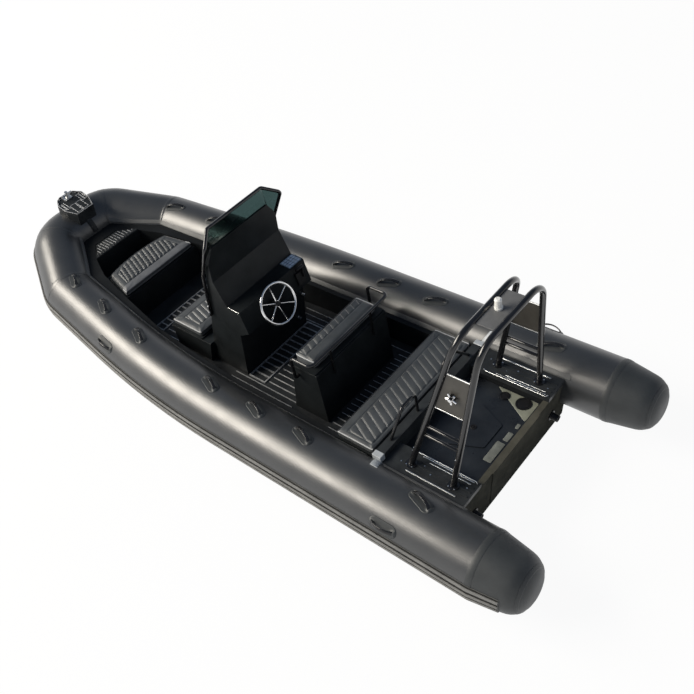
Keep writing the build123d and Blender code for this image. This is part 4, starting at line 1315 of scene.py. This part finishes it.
def makeBeamTrim(shape):
    section = tapeSection(shape["strapHalf"], shape["strapThick"], *shape["strapEasing"])
    (angle0, angle1), (x0, x1) = shape["strapAngles"], shape["strapAlong"]
    rings = []
    for k in range(shape["strapSteps"] + 1):
        part = k / shape["strapSteps"]
        travel = tubeTravel(x0 + (x1 - x0) * part)
        rings.append([tubePoint(travel + along, angle0 + (angle1 - angle0) * part, height)
                      for along, height in section])
    sleeve = boxChunk(*shape["sleeve"], shape["sleeveEdge"])
    addPiece("beamSleeves", bothSides([sleeve, sweepChunk(rings)]), "capPaint")


archTrim = {
    "pipe": 0.006, "pipeSides": 12, "pipeSteps": 8, "near": 0.012,
    "lookFrom": 1.0, "arms": 5, "firstArm": 0.25, "arm": (0.048, 0.017, 0.014),
    "armOut": 0.025, "armDown": 0.024, "armEdge": 0.004,
    "cap": [(-0.03, 0.019), (-0.006, 0.018), (0.001, 0.014), (0.003, 0.005)],
}


def makeArchTrim(shape):
    plate = cadNodes["arch_side_plates"]
    port = [p for p in (plate.matrix_world @ v.co for v in plate.data.vertices) if p.y > 0]
    pipes = []
    for level in (max(p.z for p in port), min(p.z for p in port)):
        row = [p for p in port if abs(p.z - level) < shape["near"]]
        y = sum(p.y for p in row) / len(row)
        x0, x1 = min(p.x for p in row), max(p.x for p in row)
        steps = shape["pipeSteps"]
        spots = [(x0 + (x1 - x0) * k / steps, y, level) for k in range(steps + 1)]
        pipes.append(runChunk(spots, roundSection(shape["pipe"], shape["pipeSides"])))
    addPiece("plateEdges", bothSides(pipes), "brightTrim")
    low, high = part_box("arch_fittings")
    eye = Vector(((low.x + high.x) / 2, shape["lookFrom"], (low.z + high.z) / 2))
    hit, normal = surfaceOf(cadNodes["arch_fittings"]).ray_cast(eye, Vector((0, -1, 0)))[:2]
    star = [latheChunk(hit, normal, shape["cap"], sides=24)]
    side = Vector((1, 0, 0))
    for k in range(shape["arms"]):
        turn = 2 * pi * (k + shape["firstArm"]) / shape["arms"]
        out = side * cos(turn) + normal.cross(side) * sin(turn)
        face = Matrix((out, normal.cross(out), normal)).transposed()
        centre = hit - normal * shape["armDown"] + out * shape["armOut"]
        star.append(boxChunk(centre, shape["arm"], shape["armEdge"], face))
    addPiece("latchStars", bothSides(star), "polishedSteel")


consoleTrim = {
    "keys": (4, 4), "keyGap": 0.007, "keyRise": 0.0025, "keyCorner": 0.003,
    "shelf": [(2.346, 0.4085, 1.0412), (2.41, 0.4085, 1.0446), (2.476, 0.4085, 1.0482)],
    "shelfStrip": (0.006, 0.004, 0.001),
    "knobs": [(2.455, -0.39, 0.598), (2.498, -0.309, 0.355)], "knobAxis": (-0.985, 0.0, -0.173),
    "knob": [(-0.002, 0.016), (0.004, 0.016), (0.006, 0.008), (0.018, 0.008), (0.022, 0.013), (0.03, 0.012),
             (0.033, 0.005)],
    "screenBolts": [(2.734, 0.4395, 0.9), (2.716, 0.441, 0.985)], "screenBolt": 0.009,
}


def makeConsoleTrim(shape):
    low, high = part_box("instrument_panel")
    skin = surfaceOf(cadNodes["instrument_panel"])
    rows, columns = shape["keys"]
    gap = shape["keyGap"]
    long, wide = (high.x - low.x - gap) / rows, (high.y - low.y - gap) / columns
    keys = []
    for row in range(rows):
        for column in range(columns):
            x, y = low.x + gap + row * long, low.y + gap + column * wide
            corners = rectangle(x, x + long - gap, y, y + wide - gap)
            keys.append(plateOn(skin, corners, shape["keyRise"], shape["keyCorner"]))
    addPiece("panelKeys", keys, "keyGloss")
    # painted highlight: bright metal strips along the shelf's end edges stand in for edge highlights
    shelf = runChunk(shape["shelf"], boxSection(*shape["shelfStrip"]))
    addPiece("shelfEdgeHighlights", bothSides([shelf]), "brightTrim")
    bits = [latheChunk(spot, shape["knobAxis"], shape["knob"], sides=20) for spot in shape["knobs"]]
    for spot in shape["screenBolts"]:
        bits += bothSides([boltChunk(spot, (0, 1, 0), shape["screenBolt"])])
    addPiece("consoleKnobs", bits, "polishedSteel")


wheelTrim = {
    "tilt": 23.0, "at": (2.228, 0.07, 0.936), "from": 0.4,
    "boss": [(-0.006, 0.024), (0.004, 0.024), (0.009, 0.02), (0.011, 0.012), (0.0115, 0.004)],
}


def makeWheelTrim(shape):
    turn = radians(shape["tilt"])
    out = Vector((-cos(turn), 0, sin(turn)))
    skin = surfaceOf(cadNodes["steering_wheel"])
    spot = skin.ray_cast(Vector(shape["at"]) + out * shape["from"], -out)[0]
    boss = latheChunk(spot, out, shape["boss"])
    addPiece("wheelBoss", [boss], "blackPlastic", body="wheel")


makeLidTrim(lidTrim)
makeBeamTrim(beamTrim)
makeArchTrim(archTrim)
makeConsoleTrim(consoleTrim)
makeWheelTrim(wheelTrim)
print("fittings ready")
